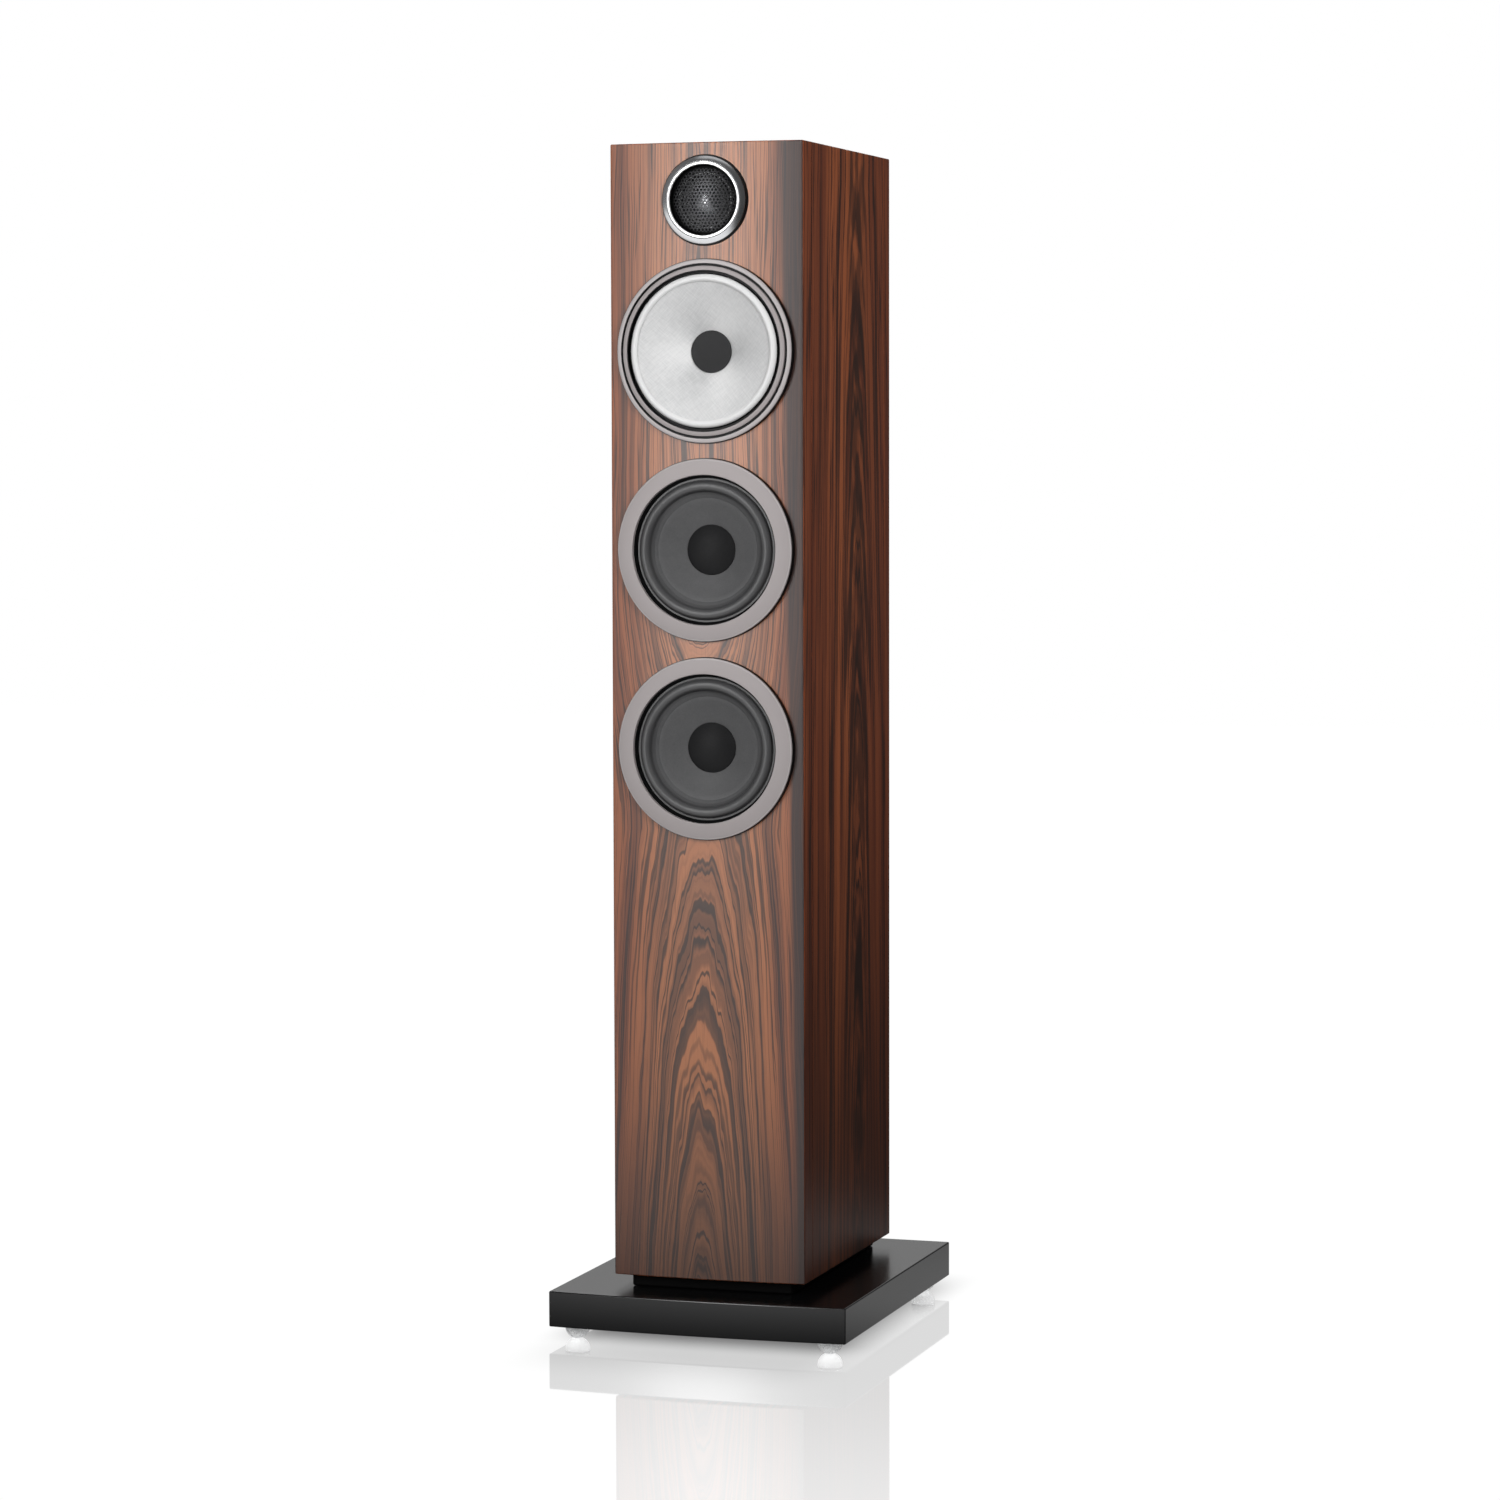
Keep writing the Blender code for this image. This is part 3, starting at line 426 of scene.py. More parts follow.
def woven(name, centre):
    finish = Finish(name, specular_ior_level=0.4)
    x, y, z = finish.split("Object")
    away = x - centre.x
    up = z - centre.z
    turns = 2 * math.pi / (WEAVE_PITCH * math.sqrt(2))
    cloth = ((away + up) * turns).sine() * ((away - up) * turns).sine()
    warp = finish.noise((away + up) * 900, 3.3, (away - up) * 90, 2.0)
    weft = finish.noise((away + up) * 90, 8.3, (away - up) * 900, 2.0)
    radius = (away * away + up * up) ** 0.5 + 0.0001
    aim = away / radius
    # Painted sheen and shade: three soft lobes round the middle, darker on the right, fading towards the rim.
    painted_sheen = 3 * aim - 4 * aim * aim * aim
    inner = 1 - finish.ramp(radius, 0.020, 0.056)
    shade = 0.34 - painted_sheen * inner * 0.34 - cloth * 0.14 + (warp + weft - 1) * 0.55
    finish.colour(finish.mix(shade.most(0.0).least(1.0), CLOTH_LIGHT, CLOTH_SHADED))
    finish.rough(0.50 + cloth * 0.06)
    finish.bump(cloth, 0.30, 0.00015)
    return finish.material


BASS_CONE = fibrous("bass_cone", tone(92, 92, 93), tone(66, 66, 67), 0.5)
BASS_CAP = fibrous("bass_cap", tone(34, 34, 35), tone(22, 22, 23), 0.15)
WOVEN_CONE = woven("woven_cone", MID_CENTRE)
print("cone finishes made")

# %% [markdown]
# ## Clear feet
# The domed feet are clear rubber, a little milky. Part of the light goes through, bent and blurred, and the
# rest lights the dome itself, so that it looks pale and not like a drop of water.

# %% Clear rubber
clear = Finish("clear_rubber", transmission_weight=0.3, ior=1.46)
clear_x, clear_y, clear_z = clear.split("Object")
haze = clear.noise(clear_x * 400, clear_y * 400, clear_z * 400, 2.0)
clear.colour(clear.mix(haze, tone(244, 246, 247), tone(250, 250, 250)))
clear.rough(0.24 + haze * 0.08)
CLEAR_RUBBER = clear.material
print("clear rubber made")

# %% [markdown]
# ## A lathe for the round pieces
# Most of a loudspeaker's pieces are turned. By hand, one would collapse a small plane to a single vertex,
# extrude it from point to point round the section, and spin that section about the axis. The helper does just
# that, merges the seam and turns the faces outwards. Sections are (radius, depth) in millimetres, and round
# stretches come from the arc function, so that no list holds more points than its shape needs.

# %% Modelling helpers
SAME_POINT = 1e-7
SEAM = 1e-6
SMOOTH_ANGLE = 32
RIDGED_ANGLE = 40


def start_fresh():
    if bpy.context.object and bpy.context.object.mode != "OBJECT":
        bpy.ops.object.mode_set(mode="OBJECT")
    bpy.ops.object.select_all(action="DESELECT")


def take(piece):
    """Selects one piece alone and makes it the active one."""
    start_fresh()
    piece.select_set(True)
    bpy.context.view_layer.objects.active = piece


def named(name):
    piece = bpy.context.object
    piece.name = name
    piece.data.name = name
    return piece


def choose(piece, kind, test):
    """In edit mode, selects the verts, edges or faces that pass the test."""
    bpy.ops.mesh.select_all(action="DESELECT")
    shape = bmesh.from_edit_mesh(piece.data)
    for item in getattr(shape, kind):
        if test(item):
            item.select_set(True)
    shape.select_flush_mode()
    bmesh.update_edit_mesh(piece.data)


def arc(middle, radius, start, end, steps):
    """Points on a circle from one angle to another, in degrees from the outward direction."""
    turns = [math.radians(start + (end - start) * step / steps) for step in range(steps + 1)]
    return [(middle[0] + radius * math.cos(a), middle[1] + radius * math.sin(a)) for a in turns]


def draw_section(name, points, centre):
    """A chain of edges, made by extruding one vertex from point to point. Points are metres from centre."""
    start_fresh()
    bpy.ops.mesh.primitive_plane_add(size=MM, location=centre)
    piece = named(name)
    bpy.ops.object.mode_set(mode="EDIT")
    bpy.ops.mesh.merge(type="CENTER")
    here = Vector((0, 0, 0))
    for number, point in enumerate(points):
        step = Vector(point) - here
        if number == 0:
            bpy.ops.transform.translate(value=step)
        else:
            bpy.ops.mesh.extrude_region_move(TRANSFORM_OT_translate={"value": step})
        here = Vector(point)
    return piece


def close_section(piece, points):
    """Joins the chain's two ends."""
    ends = (Vector(points[0]), Vector(points[-1]))
    choose(piece, "verts", lambda vert: min((vert.co - end).length for end in ends) < SAME_POINT)
    bpy.ops.mesh.edge_face_add()


def turn(name, section, centre, steps, axis="Y"):
    """Spins a closed section of (radius, depth) in millimetres round the axis through centre."""
    if axis == "Y":
        points = [(radius * MM, depth * MM, 0) for radius, depth in section]
    else:
        points = [(radius * MM, 0, depth * MM) for radius, depth in section]
    piece = draw_section(name, points, centre)
    if section[0][0] > 0 or section[-1][0] > 0:
        close_section(piece, points)
    bpy.ops.mesh.select_all(action="SELECT")
    spin_axis = (0, 1, 0) if axis == "Y" else (0, 0, 1)
    bpy.ops.mesh.spin(steps=steps, angle=2 * math.pi, center=centre, axis=spin_axis)
    bpy.ops.mesh.select_all(action="SELECT")
    bpy.ops.mesh.remove_doubles(threshold=SEAM)
    bpy.ops.mesh.normals_make_consistent(inside=False)
    bpy.ops.object.mode_set(mode="OBJECT")
    return piece


def apply_modifier(piece, kind, **settings):
    bpy.context.view_layer.objects.active = piece
    made = piece.modifiers.new(kind.lower(), kind)
    for key, value in settings.items():
        setattr(made, key, value)
    bpy.ops.object.modifier_apply(modifier=made.name)


def settle(piece, finish, replaced, angle):
    """Puts the piece's place into its mesh, smooths it, gives it its finish, and hides the frame's pieces
    that it replaces.
    """
    take(piece)
    bpy.ops.object.transform_apply(location=True, rotation=True, scale=True)
    bpy.ops.object.shade_smooth_by_angle(angle=math.radians(angle))
    if not piece.data.materials:
        piece.data.materials.append(finish)
    if replaced:
        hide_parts(*replaced)


def complete(piece, finish, replaced=(), body="cabinet", angle=SMOOTH_ANGLE):
    """Settles a piece that rides on one body."""
    settle(piece, finish, replaced, angle)
    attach(piece, body)


def turned(
    name, section, centre, steps, finish, replaced=(), body="cabinet", axis="Y", angle=SMOOTH_ANGLE
):
    """Turns a piece on the lathe and completes it."""
    piece = turn(name, section, centre, steps, axis)
    complete(piece, finish, replaced, body, angle)
    return piece


print("modelling helpers ready")

# %% [markdown]
# ## Floor and lights
# The photograph is a studio picture on seamless white. A tall softbox stands close in front on the left: its
# reflection lies as a pale haze down the middle of the lacquer, strongest at the top. A second one on the
# right lights the front and the side without showing in the gloss, and three more look after the back, the
# left and the top. The floor shines white and mirrors the plinth on a patch in front, but sends little light
# back up, and light linking keeps the softboxes themselves out of its mirror.

# %% Picture tones
bpy.context.scene.view_settings.view_transform = "Standard"
print("picture tones:", bpy.context.scene.view_settings.view_transform)

# %% Floor
FLOOR_SIZE = 16.0
FLOOR_WHITE = 1.01
MIRRORED_BACK = 0.45
FAINT = 0.06

start_fresh()
bpy.ops.mesh.primitive_plane_add(size=FLOOR_SIZE, location=(0, 0, 0))
floor = named("floor")
floor_finish = Finish("pale_floor")
floor_x, floor_y, _ = floor_finish.split("Object")
ramp = floor_finish.ramp
window = floor_finish.window
to_camera = floor_finish.node("ShaderNodeLightPath", {}, {}, "Is Camera Ray")
to_gloss = floor_finish.node("ShaderNodeLightPath", {}, {}, "Is Glossy Ray")
through = floor_finish.node("ShaderNodeLightPath", {}, {}, "Is Transmission Ray")
to_matt = (1 - to_camera) * (1 - to_gloss) * (1 - through)

# The mirror lies on a patch in front of the plinth, strongest close to it and blurred far from it.
mirror = 0.42 + ramp(floor_y, -0.75, -0.20) * 0.28
mirror = mirror * window(floor_y, (-1.75, -1.40), (0.20, 0.45))
mirror = mirror * window(floor_x, (-0.32, -0.16), (0.55, 0.80))
far = 1 - ramp(floor_y, -1.05, -0.80)

# Glossy pieces see a floor that is bright ahead of the plinth, fainter behind it and dim elsewhere.
ahead = (1 - ramp(floor_y, -0.50, -0.18)) * (1 - ramp(floor_x, 0.30, 0.75))
behind = window(floor_y, (-0.20, 0.12), (0.35, 0.65))
bounce = FAINT + (ahead * 1.15).most(behind * 0.28)

# The floor is darker to the eye under the plinth, a painted shadow, and lights the plinth's underside from
# there.
under = ramp(floor_y, -0.30, -0.17) * 0.12 + ramp(floor_y, -0.17, -0.10) * 0.46
under = under * (1 - ramp(abs(floor_x), 0.09, 0.15)) * (1 - ramp(floor_y, 0.13, 0.24))
beneath = (1 - ramp(abs(floor_x), 0.12, 0.17)) * (1 - ramp(abs(floor_y), 0.15, 0.20))

unseen = bounce * to_gloss + through + (FAINT + beneath * 0.6) * to_matt
shown = (FLOOR_WHITE - mirror * MIRRORED_BACK - under) * to_camera + unseen
glow = floor_finish.node("ShaderNodeEmission", {}, {"Color": shown, "Strength": 1.0})
gloss = floor_finish.node("ShaderNodeBsdfGlossy", {}, {"Color": mirror, "Roughness": 0.03 + far * 0.09})
joined = floor_finish.node("ShaderNodeAddShader", {}, {0: glow, 1: gloss})
floor_finish.fill(floor_finish.tree.nodes["Material Output"].inputs["Surface"], joined)
floor.data.materials.append(floor_finish.material)
print("floor laid")

# %% Lights
WATTS_PER_AREA = 4
unlit = bpy.data.collections.new("kept_from_softboxes")
unlit.objects.link(floor)
unlit.collection_objects[0].light_linking.link_state = "EXCLUDE"


def softbox(name, place, aim, size, brightness, spread=180, glossy=True):
    """An area light of the given size in metres, as bright as its area and brightness make it. A spread under
    180 degrees acts like a honeycomb grid."""
    lamp = bpy.data.lights.new(name, "AREA")
    lamp.shape = "RECTANGLE"
    lamp.size, lamp.size_y = size
    lamp.energy = brightness * WATTS_PER_AREA * size[0] * size[1]
    lamp.spread = math.radians(spread)
    holder = bpy.data.objects.new(name, lamp)
    holder.location = place
    holder.rotation_mode = "QUATERNION"
    holder.rotation_quaternion = (Vector(aim) - Vector(place)).to_track_quat("-Z", "Y")
    holder.visible_camera = False
    holder.visible_glossy = glossy
    holder.light_linking.receiver_collection = unlit
    bpy.context.scene.collection.objects.link(holder)


softbox("front_softbox", (-0.47, -1.60, 1.01), (0, -0.1, 0.56), (0.32, 1.30), 2.55, 95)
softbox("side_softbox", (1.35, -1.60, 1.25), (0.05, 0, 0.90), (0.7, 0.9), 2.5, 85, False)
softbox("overhead_softbox", (0, -0.3, 2.6), (0, 0, 0), (1.5, 1.5), 0.5)
softbox("rear_softbox", (-0.9, 2.4, 1.7), (0, 0.1, 0.6), (1.0, 0.9), 3.0)
softbox("left_softbox", (-2.0, 0.9, 1.3), (0, 0, 0.6), (0.8, 1.2), 3.0)
print("lit by", len(bpy.data.lights), "softboxes")

# %% World
DIM_ROOM = 0.08
WHITE = 1.0
world = bpy.data.worlds.new("studio")
bpy.context.scene.world = world
world.use_nodes = True
studio = Tree(world.node_tree)


def backdrop(strength):
    return studio.node("ShaderNodeBackground", {}, {"Color": (1, 1, 1, 1), "Strength": strength})


def choose_backdrop(ray, otherwise, then):
    """What the given kind of ray meets, and what all others do."""
    path = studio.node("ShaderNodeLightPath", {}, {}, ray)
    return studio.node("ShaderNodeMixShader", {}, {0: path, 1: otherwise, 2: then})


def span(value, low, high, first, last):
    """Goes from first to last while the value goes from low to high."""
    return studio.node("ShaderNodeMapRange", {}, {0: value, 1: low, 2: high, 3: first, 4: last})


# Gloss meets a bright wall at the back on the left, which the floor mirrors, and dim walls elsewhere.
rightwards, backwards, _ = studio.split("Generated")
leftness = span(rightwards, 0.20, -0.08, 0.0, MIRRORED_BACK - DIM_ROOM)
backness = span(backwards, 0.35, 0.75, 0.0, 1.0)
wall = leftness * backness + span(rightwards, -0.90, -0.40, 0.20, DIM_ROOM)
room = choose_backdrop("Is Glossy Ray", backdrop(FAINT), backdrop(wall))
room = choose_backdrop("Is Transmission Ray", room, backdrop(WHITE))
room = choose_backdrop("Is Camera Ray", room, backdrop(WHITE))
studio.fill(studio.tree.nodes["World Output"].inputs["Surface"], room)
print("studio world:", len(studio.tree.nodes), "nodes")

# %% [markdown]
# ## Front board
# The front board bows gently forward, and its veneer is cut round each drive unit. A plan outline that is
# extruded upwards keeps the bow exact. Only the edges that show are eased, because the back edges have to
# meet the side panels without a groove. The unit holes are turned cutters, taken out with a Boolean. Faces
# that look sideways carry the side veneer, so that no joint shows round the corner.

# %% Slabs, eased edges and cuts
BOW_STEPS = 48
EASED_EDGE = 1.0 * MM
SHARP_ANGLE = 0.6
FACING = 0.6


def bowed_line(half_width, plane, bow):
    shares = [-1 + 2 * step / BOW_STEPS for step in range(BOW_STEPS + 1)]
    return [(share * half_width, plane - bow * (1 - share * share)) for share in shares]


def slab(name, outline, low, high, along="Z"):
    """Fills a closed outline and extrudes it: (x, y) up Z, or (x, z) along Y. Stays in edit mode."""
    if along == "Z":
        points = [(a, b, low) for a, b in outline]
        travel = (0, 0, high - low)
    else:
        points = [(a, low, b) for a, b in outline]
        travel = (0, high - low, 0)
    piece = draw_section(name, points, (0, 0, 0))
    close_section(piece, points)
    bpy.ops.mesh.select_all(action="SELECT")
    bpy.ops.mesh.edge_face_add()
    bpy.ops.mesh.extrude_region_move(TRANSFORM_OT_translate={"value": travel})
    bpy.ops.mesh.select_all(action="SELECT")
    bpy.ops.mesh.normals_make_consistent(inside=False)
    return piece


def ease(piece, width, segments=3, test=lambda edge: True):
    """Rounds the sharp edges that pass the test, and goes back to object mode."""
    choose(piece, "edges", lambda edge: edge.calc_face_angle(0) > SHARP_ANGLE and test(edge))
    bpy.ops.mesh.bevel(offset=width, segments=segments, affect="EDGES")
    bpy.ops.object.mode_set(mode="OBJECT")


def cut(piece, cutter, inner_finish):
    """Takes the cutter's shape out of the piece. The new walls get the inner finish."""
    cutter.data.materials.append(inner_finish)
    start_fresh()
    apply_modifier(
        piece, "BOOLEAN", operation="DIFFERENCE", solver="EXACT", object=cutter, material_mode="TRANSFER"
    )
    bpy.data.objects.remove(cutter, do_unlink=True)


def flatten_shading(piece):
    """Keeps large flat faces flat beside small rounded edges."""
    start_fresh()
    apply_modifier(piece, "WEIGHTED_NORMAL", keep_sharp=True)


def veneer_faces(piece, front):
    """Gives each face of a cabinet board the veneer for the way that it looks."""
    for finish in (front, SIDE_VENEER, TOP_VENEER):
        piece.data.materials.append(finish)
    for face in piece.data.polygons:
        if abs(face.normal.x) > FACING:
            face.material_index = 1
        elif abs(face.normal.z) > FACING:
            face.material_index = 2


print("slab helpers ready")

# %% Front board
UNIT_GAP = 0.3
REBATE_FLOOR = 1.5
TRIM_RADIUS = 74.2
TWEETER_FLANGE = 36.4
TWEETER_HOLE = 32.8
MID_HOLE = 64
BASS_HOLE = 60
CUT_FROM = -16.0
CUT_TO = BAFFLE_THICKNESS / MM + 10.0

baffle_plan = bowed_line(CABINET_HALF, BAFFLE_PLANE, BAFFLE_BOW)
baffle_plan += [(CABINET_HALF, baffle_high.y), (-CABINET_HALF, baffle_high.y)]
front_board = slab("veneered_front", baffle_plan, baffle_low.z, baffle_high.z)
ease(front_board, EASED_EDGE, 3, lambda edge: min(vert.co.y for vert in edge.verts) < baffle_high.y - MM)
veneer_faces(front_board, FRONT_VENEER)
unit_holes = [(TWEETER_CENTRE, TWEETER_FLANGE, TWEETER_HOLE), (MID_CENTRE, TRIM_RADIUS, MID_HOLE)]
unit_holes += [(centre, TRIM_RADIUS, BASS_HOLE) for centre in BASS_CENTRES.values()]
for unit, rebate, hole in unit_holes:
    rebate += UNIT_GAP
    stepped = [
        (0, CUT_FROM), (rebate, CUT_FROM), (rebate, REBATE_FLOOR), (hole, REBATE_FLOOR), (hole, CUT_TO),
        (0, CUT_TO),
    ]
    cut(front_board, turn("unit_cutter", stepped, unit, 160), BOARD)
complete(front_board, FRONT_VENEER, ["front_baffle"])
flatten_shading(front_board)
print("front board:", len(front_board.data.polygons), "faces")

# %% [markdown]
# ## Sides, top, floor and back
# The four boards behind the front are one folded sheet of veneered board, mitred at the corners. Each is an
# outline across the cabinet, extruded from front to back. The two boards at a corner share its small rounded
# edge, half each, so that the mitre lies hidden in the middle of the round.

# %% Wrapped boards
top_low, top_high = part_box("top_panel")
WALL = top_high.z - top_low.z
wrap_x = CABINET_HALF - EASED_EDGE
wrap_low = baffle_low.z + EASED_EDGE
wrap_high = baffle_high.z - EASED_EDGE
inner_x = CABINET_HALF - WALL
inner_low = baffle_low.z + WALL
inner_high = baffle_high.z - WALL


def corner(x, z, start):
    """Half of a rounded corner, in degrees from +X."""
    return arc((x, z), EASED_EDGE, start, start + 45, 3)


WRAP_OUTLINES = {
    "right_side": ("side_panel_right", corner(wrap_x, wrap_low, -45) + corner(wrap_x, wrap_high, 0)
                   + [(inner_x, inner_high), (inner_x, inner_low)]),
    "top_board": ("top_panel", corner(wrap_x, wrap_high, 45) + corner(-wrap_x, wrap_high, 90)
                  + [(-inner_x, inner_high), (inner_x, inner_high)]),
    "left_side": ("side_panel_left", corner(-wrap_x, wrap_high, 135) + corner(-wrap_x, wrap_low, 180)
                  + [(-inner_x, inner_low), (-inner_x, inner_high)]),
    "floor_board": ("bottom_panel", corner(-wrap_x, wrap_low, 225) + corner(wrap_x, wrap_low, 270)
                    + [(inner_x, inner_low), (-inner_x, inner_low)]),
}
for board_name, (node, outline) in WRAP_OUTLINES.items():
    wrapped = slab(board_name, outline, baffle_high.y, rear_low.y, "Y")
    bpy.ops.object.mode_set(mode="OBJECT")
    veneer_faces(wrapped, SIDE_VENEER)
    complete(wrapped, SIDE_VENEER, [node])
    flatten_shading(wrapped)
print("wrapped boards:", len(WRAP_OUTLINES))

# %% Back board
PORT_CENTRE = Vector((0, REAR_PLANE, middle_of("port_tube").z))
TERMINAL_CENTRE = Vector((0, REAR_PLANE, middle_of("terminal_panel").z))
PLATE_SIZE = (96, 62)
PLATE_GAP = 0.6
PLATE_CORNER = 6
OPENING_SIZE = (76, 42)


def rounded_rectangle(middle, width, height, radius):
    """An outline seen along Y, with its size in mm."""
    half_x = (width / 2 - radius) * MM
    half_z = (height / 2 - radius) * MM
    points = []
    corners = ((half_x, -half_z), (half_x, half_z), (-half_x, half_z), (-half_x, -half_z))
    for number, (x, z) in enumerate(corners):
        start = 90 * (number - 1)
        points += arc((middle.x + x, middle.z + z), radius * MM, start, start + 90, 6)
    return points


back_outline = [
    (-CABINET_HALF, baffle_low.z), (CABINET_HALF, baffle_low.z), (CABINET_HALF, baffle_high.z),
    (-CABINET_HALF, baffle_high.z),
]
back_board = slab("veneered_back", back_outline, rear_low.y, REAR_PLANE, "Y")
ease(back_board, EASED_EDGE, 3, lambda edge: max(vert.co.y for vert in edge.verts) > rear_low.y + MM)
veneer_faces(back_board, BACK_VENEER)
port_hole = [(0, -40), (30, -40), (30, -2.5), (36.3, -2.5), (36.3, 10), (0, 10)]
cut(back_board, turn("port_cutter", port_hole, PORT_CENTRE, 96), BOARD)
rebate_size = [side + PLATE_GAP for side in PLATE_SIZE]
rebate_outline = rounded_rectangle(TERMINAL_CENTRE, *rebate_size, PLATE_CORNER)
cut(back_board, slab("rebate_cutter", rebate_outline, REAR_PLANE - 3 * MM, REAR_PLANE + 5 * MM, "Y"), BOARD)
opening_outline = rounded_rectangle(TERMINAL_CENTRE, *OPENING_SIZE, PLATE_CORNER)
cut(back_board, slab("opening_cutter", opening_outline, rear_low.y - 5 * MM, REAR_PLANE, "Y"), BOARD)
complete(back_board, BACK_VENEER, ["rear_panel"])
flatten_shading(back_board)
print("back board:", len(back_board.data.polygons), "faces")

# %% [markdown]
# ## Plinth and spacer
# The plinth is one board with a bowed front edge under semi-gloss black lacquer, and it is drilled from below
# for the feet. Lacquer always rounds an edge a little, and the thin bright line along that round is what
# makes the board look solid, so it is modelled and not left to the shader. The spacer's CAD shape is already
# right.

# %% Plinth board
PLINTH_BOW = 5 * MM
PLINTH_EDGE = 1.2 * MM
STUD_HOLE = 4.3
FOOT_NAMES = ("front_left", "front_right", "rear_left", "rear_right")
FOOT_PLACES = {name: middle_of("foot_dome_" + name) for name in FOOT_NAMES}

plinth_plan = bowed_line(plinth_high.x, plinth_low.y + PLINTH_BOW, PLINTH_BOW)
plinth_plan += [(plinth_high.x, plinth_high.y), (plinth_low.x, plinth_high.y)]
plinth = slab("lacquered_plinth", plinth_plan, plinth_low.z, plinth_high.z)
ease(plinth, PLINTH_EDGE, 4)
plinth.data.materials.append(BLACK_LACQUER)
stud_hole = [(0, -10), (STUD_HOLE, -10), (STUD_HOLE, 24), (0, 24)]
for foot_place in FOOT_PLACES.values():
    drill = turn("stud_drill", stud_hole, (foot_place.x, foot_place.y, plinth_low.z), 32, "Z")
    cut(plinth, drill, BOARD)
complete(plinth, BLACK_LACQUER, ["plinth_board"])
flatten_shading(plinth)
print("plinth:", len(plinth.data.polygons), "faces")

# %% [markdown]
# ## Feet
# Each foot is a clear dome with a flat spot to stand on, moulded round a steel stud that screws into the
# plinth. The dome turns and the stud goes up and down, so they ride on different bodies. The thread is a row
# of ridges on the lathe section: at this size nobody can tell them from a helix, and the mesh stays light.

# %% Domes and studs
FOOT_RADIUS = 10.3
FOOT_PAD = 3.5
FOOT_TOP = 10.9
FOOT_SOCKET = 4.7
FOOT_ROUND = 0.8
STUD_RADIUS = 4.0
STUD_LOW = 5.0
STUD_HIGH = 33.2
THREAD_PITCH = 1.25

pad_angle = math.degrees(math.acos(FOOT_PAD / FOOT_RADIUS))
dome_middle = FOOT_RADIUS * math.sin(math.radians(pad_angle))
foot_section = [(0, 0)] + arc((0, dome_middle), FOOT_RADIUS, -pad_angle, 0, 14)
foot_section += arc((FOOT_RADIUS - FOOT_ROUND, FOOT_TOP - FOOT_ROUND), FOOT_ROUND, 0, 90, 3)
foot_section += [(STUD_HOLE, FOOT_TOP), (STUD_HOLE, FOOT_SOCKET), (0, FOOT_SOCKET)]


def threaded(radius, low, high, pitch):
    """A rod's section with a ridge for each turn of its thread."""
    root = radius - 0.6 * pitch
    turns = int((high - low) / pitch) - 1
    section = [(0, low), (root, low)]
    for number in range(turns):
        level = low + (number + 0.5) * pitch
        section += [(root, level), (radius, level + 0.4 * pitch), (radius, level + 0.6 * pitch)]
    return section + [(root, low + (turns + 0.5) * pitch), (root, high), (0, high)]


stud_section = threaded(STUD_RADIUS, STUD_LOW, STUD_HIGH, THREAD_PITCH)
for foot, foot_place in FOOT_PLACES.items():
    ground = (foot_place.x, foot_place.y, 0)
    turned("clear_dome_" + foot, foot_section, ground, 64, CLEAR_RUBBER,
           ["foot_dome_" + foot], "foot_" + foot, "Z")
    turned("threaded_stud_" + foot, stud_section, ground, 24, STEEL,
           ["foot_stud_" + foot], "stud_" + foot, "Z", RIDGED_ANGLE)
print("feet:", len(FOOT_PLACES))

# %% [markdown]
# ## Parts that every cone unit has
# Behind each cone sit a chassis with four windows, a motor of stacked plates round a ring magnet, a voice
# coil and a ribbed cloth disc. They are hidden, but the model is also used as separate meshes, so they are
# modelled as fully as the rest. A surround and a cloth disc stretch when the cone moves: one edge stays on
# the cabinet and the other goes with the cone. Blend writes that as a weight on each point, here by its
# radius.

# %% Shared unit parts
WINDOWS = 4
PLATE_THICK = 6
MAGNET_THICK = 18
YOKE_THICK = 7
COIL_LENGTH = 12
WINDINGS = 16
WIRE = 0.7
RIBS = 6
RIB_HEIGHT = 1.1
RIB_STEPS = 60


def complete_stretched(piece, finish, replaced, body, centre, still, moving):
    """Settles a ring that follows the cabinet at the radius called still and the cone at moving, in mm."""
    settle(piece, finish, replaced, RIDGED_ANGLE)
    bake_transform(piece, "cabinet", body, tuple(centre), (centre.x, centre.y - MM, centre.z))
    weights = piece.data.attributes["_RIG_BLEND"]
    for vert, weight in zip(piece.data.vertices, weights.data):
        radius = math.hypot(vert.co.x - centre.x, vert.co.z - centre.z) / MM
        weight.value = min(1, max(0, (still - radius) / (still - moving)))


def make_basket(name, section, centre, limits):
    """A chassis with openings between the ribs of its sloping wall. Sizes and limits are in mm."""
    inner, outer, front, rear = limits
    basket = turn(name + "_basket", section, centre, 128)
    basket.data.materials.append(BLACK_MOULDING)
    away = (inner + outer) / 2 * MM
    for number in range(WINDOWS):
        angle = 2 * math.pi / WINDOWS * (number + 0.5)
        place = centre + Vector((away * math.cos(angle), (front + rear) / 2 * MM, away * math.sin(angle)))
        start_fresh()
        bpy.ops.mesh.primitive_cube_add(size=1, location=place, rotation=(0, -angle, 0))
        opening = named("basket_window")
        opening.scale = ((outer - inner) * MM, (rear - front) * MM, 30 * MM)
        cut(basket, opening, BLACK_MOULDING)
    complete(basket, BLACK_MOULDING, [name + "_chassis"])


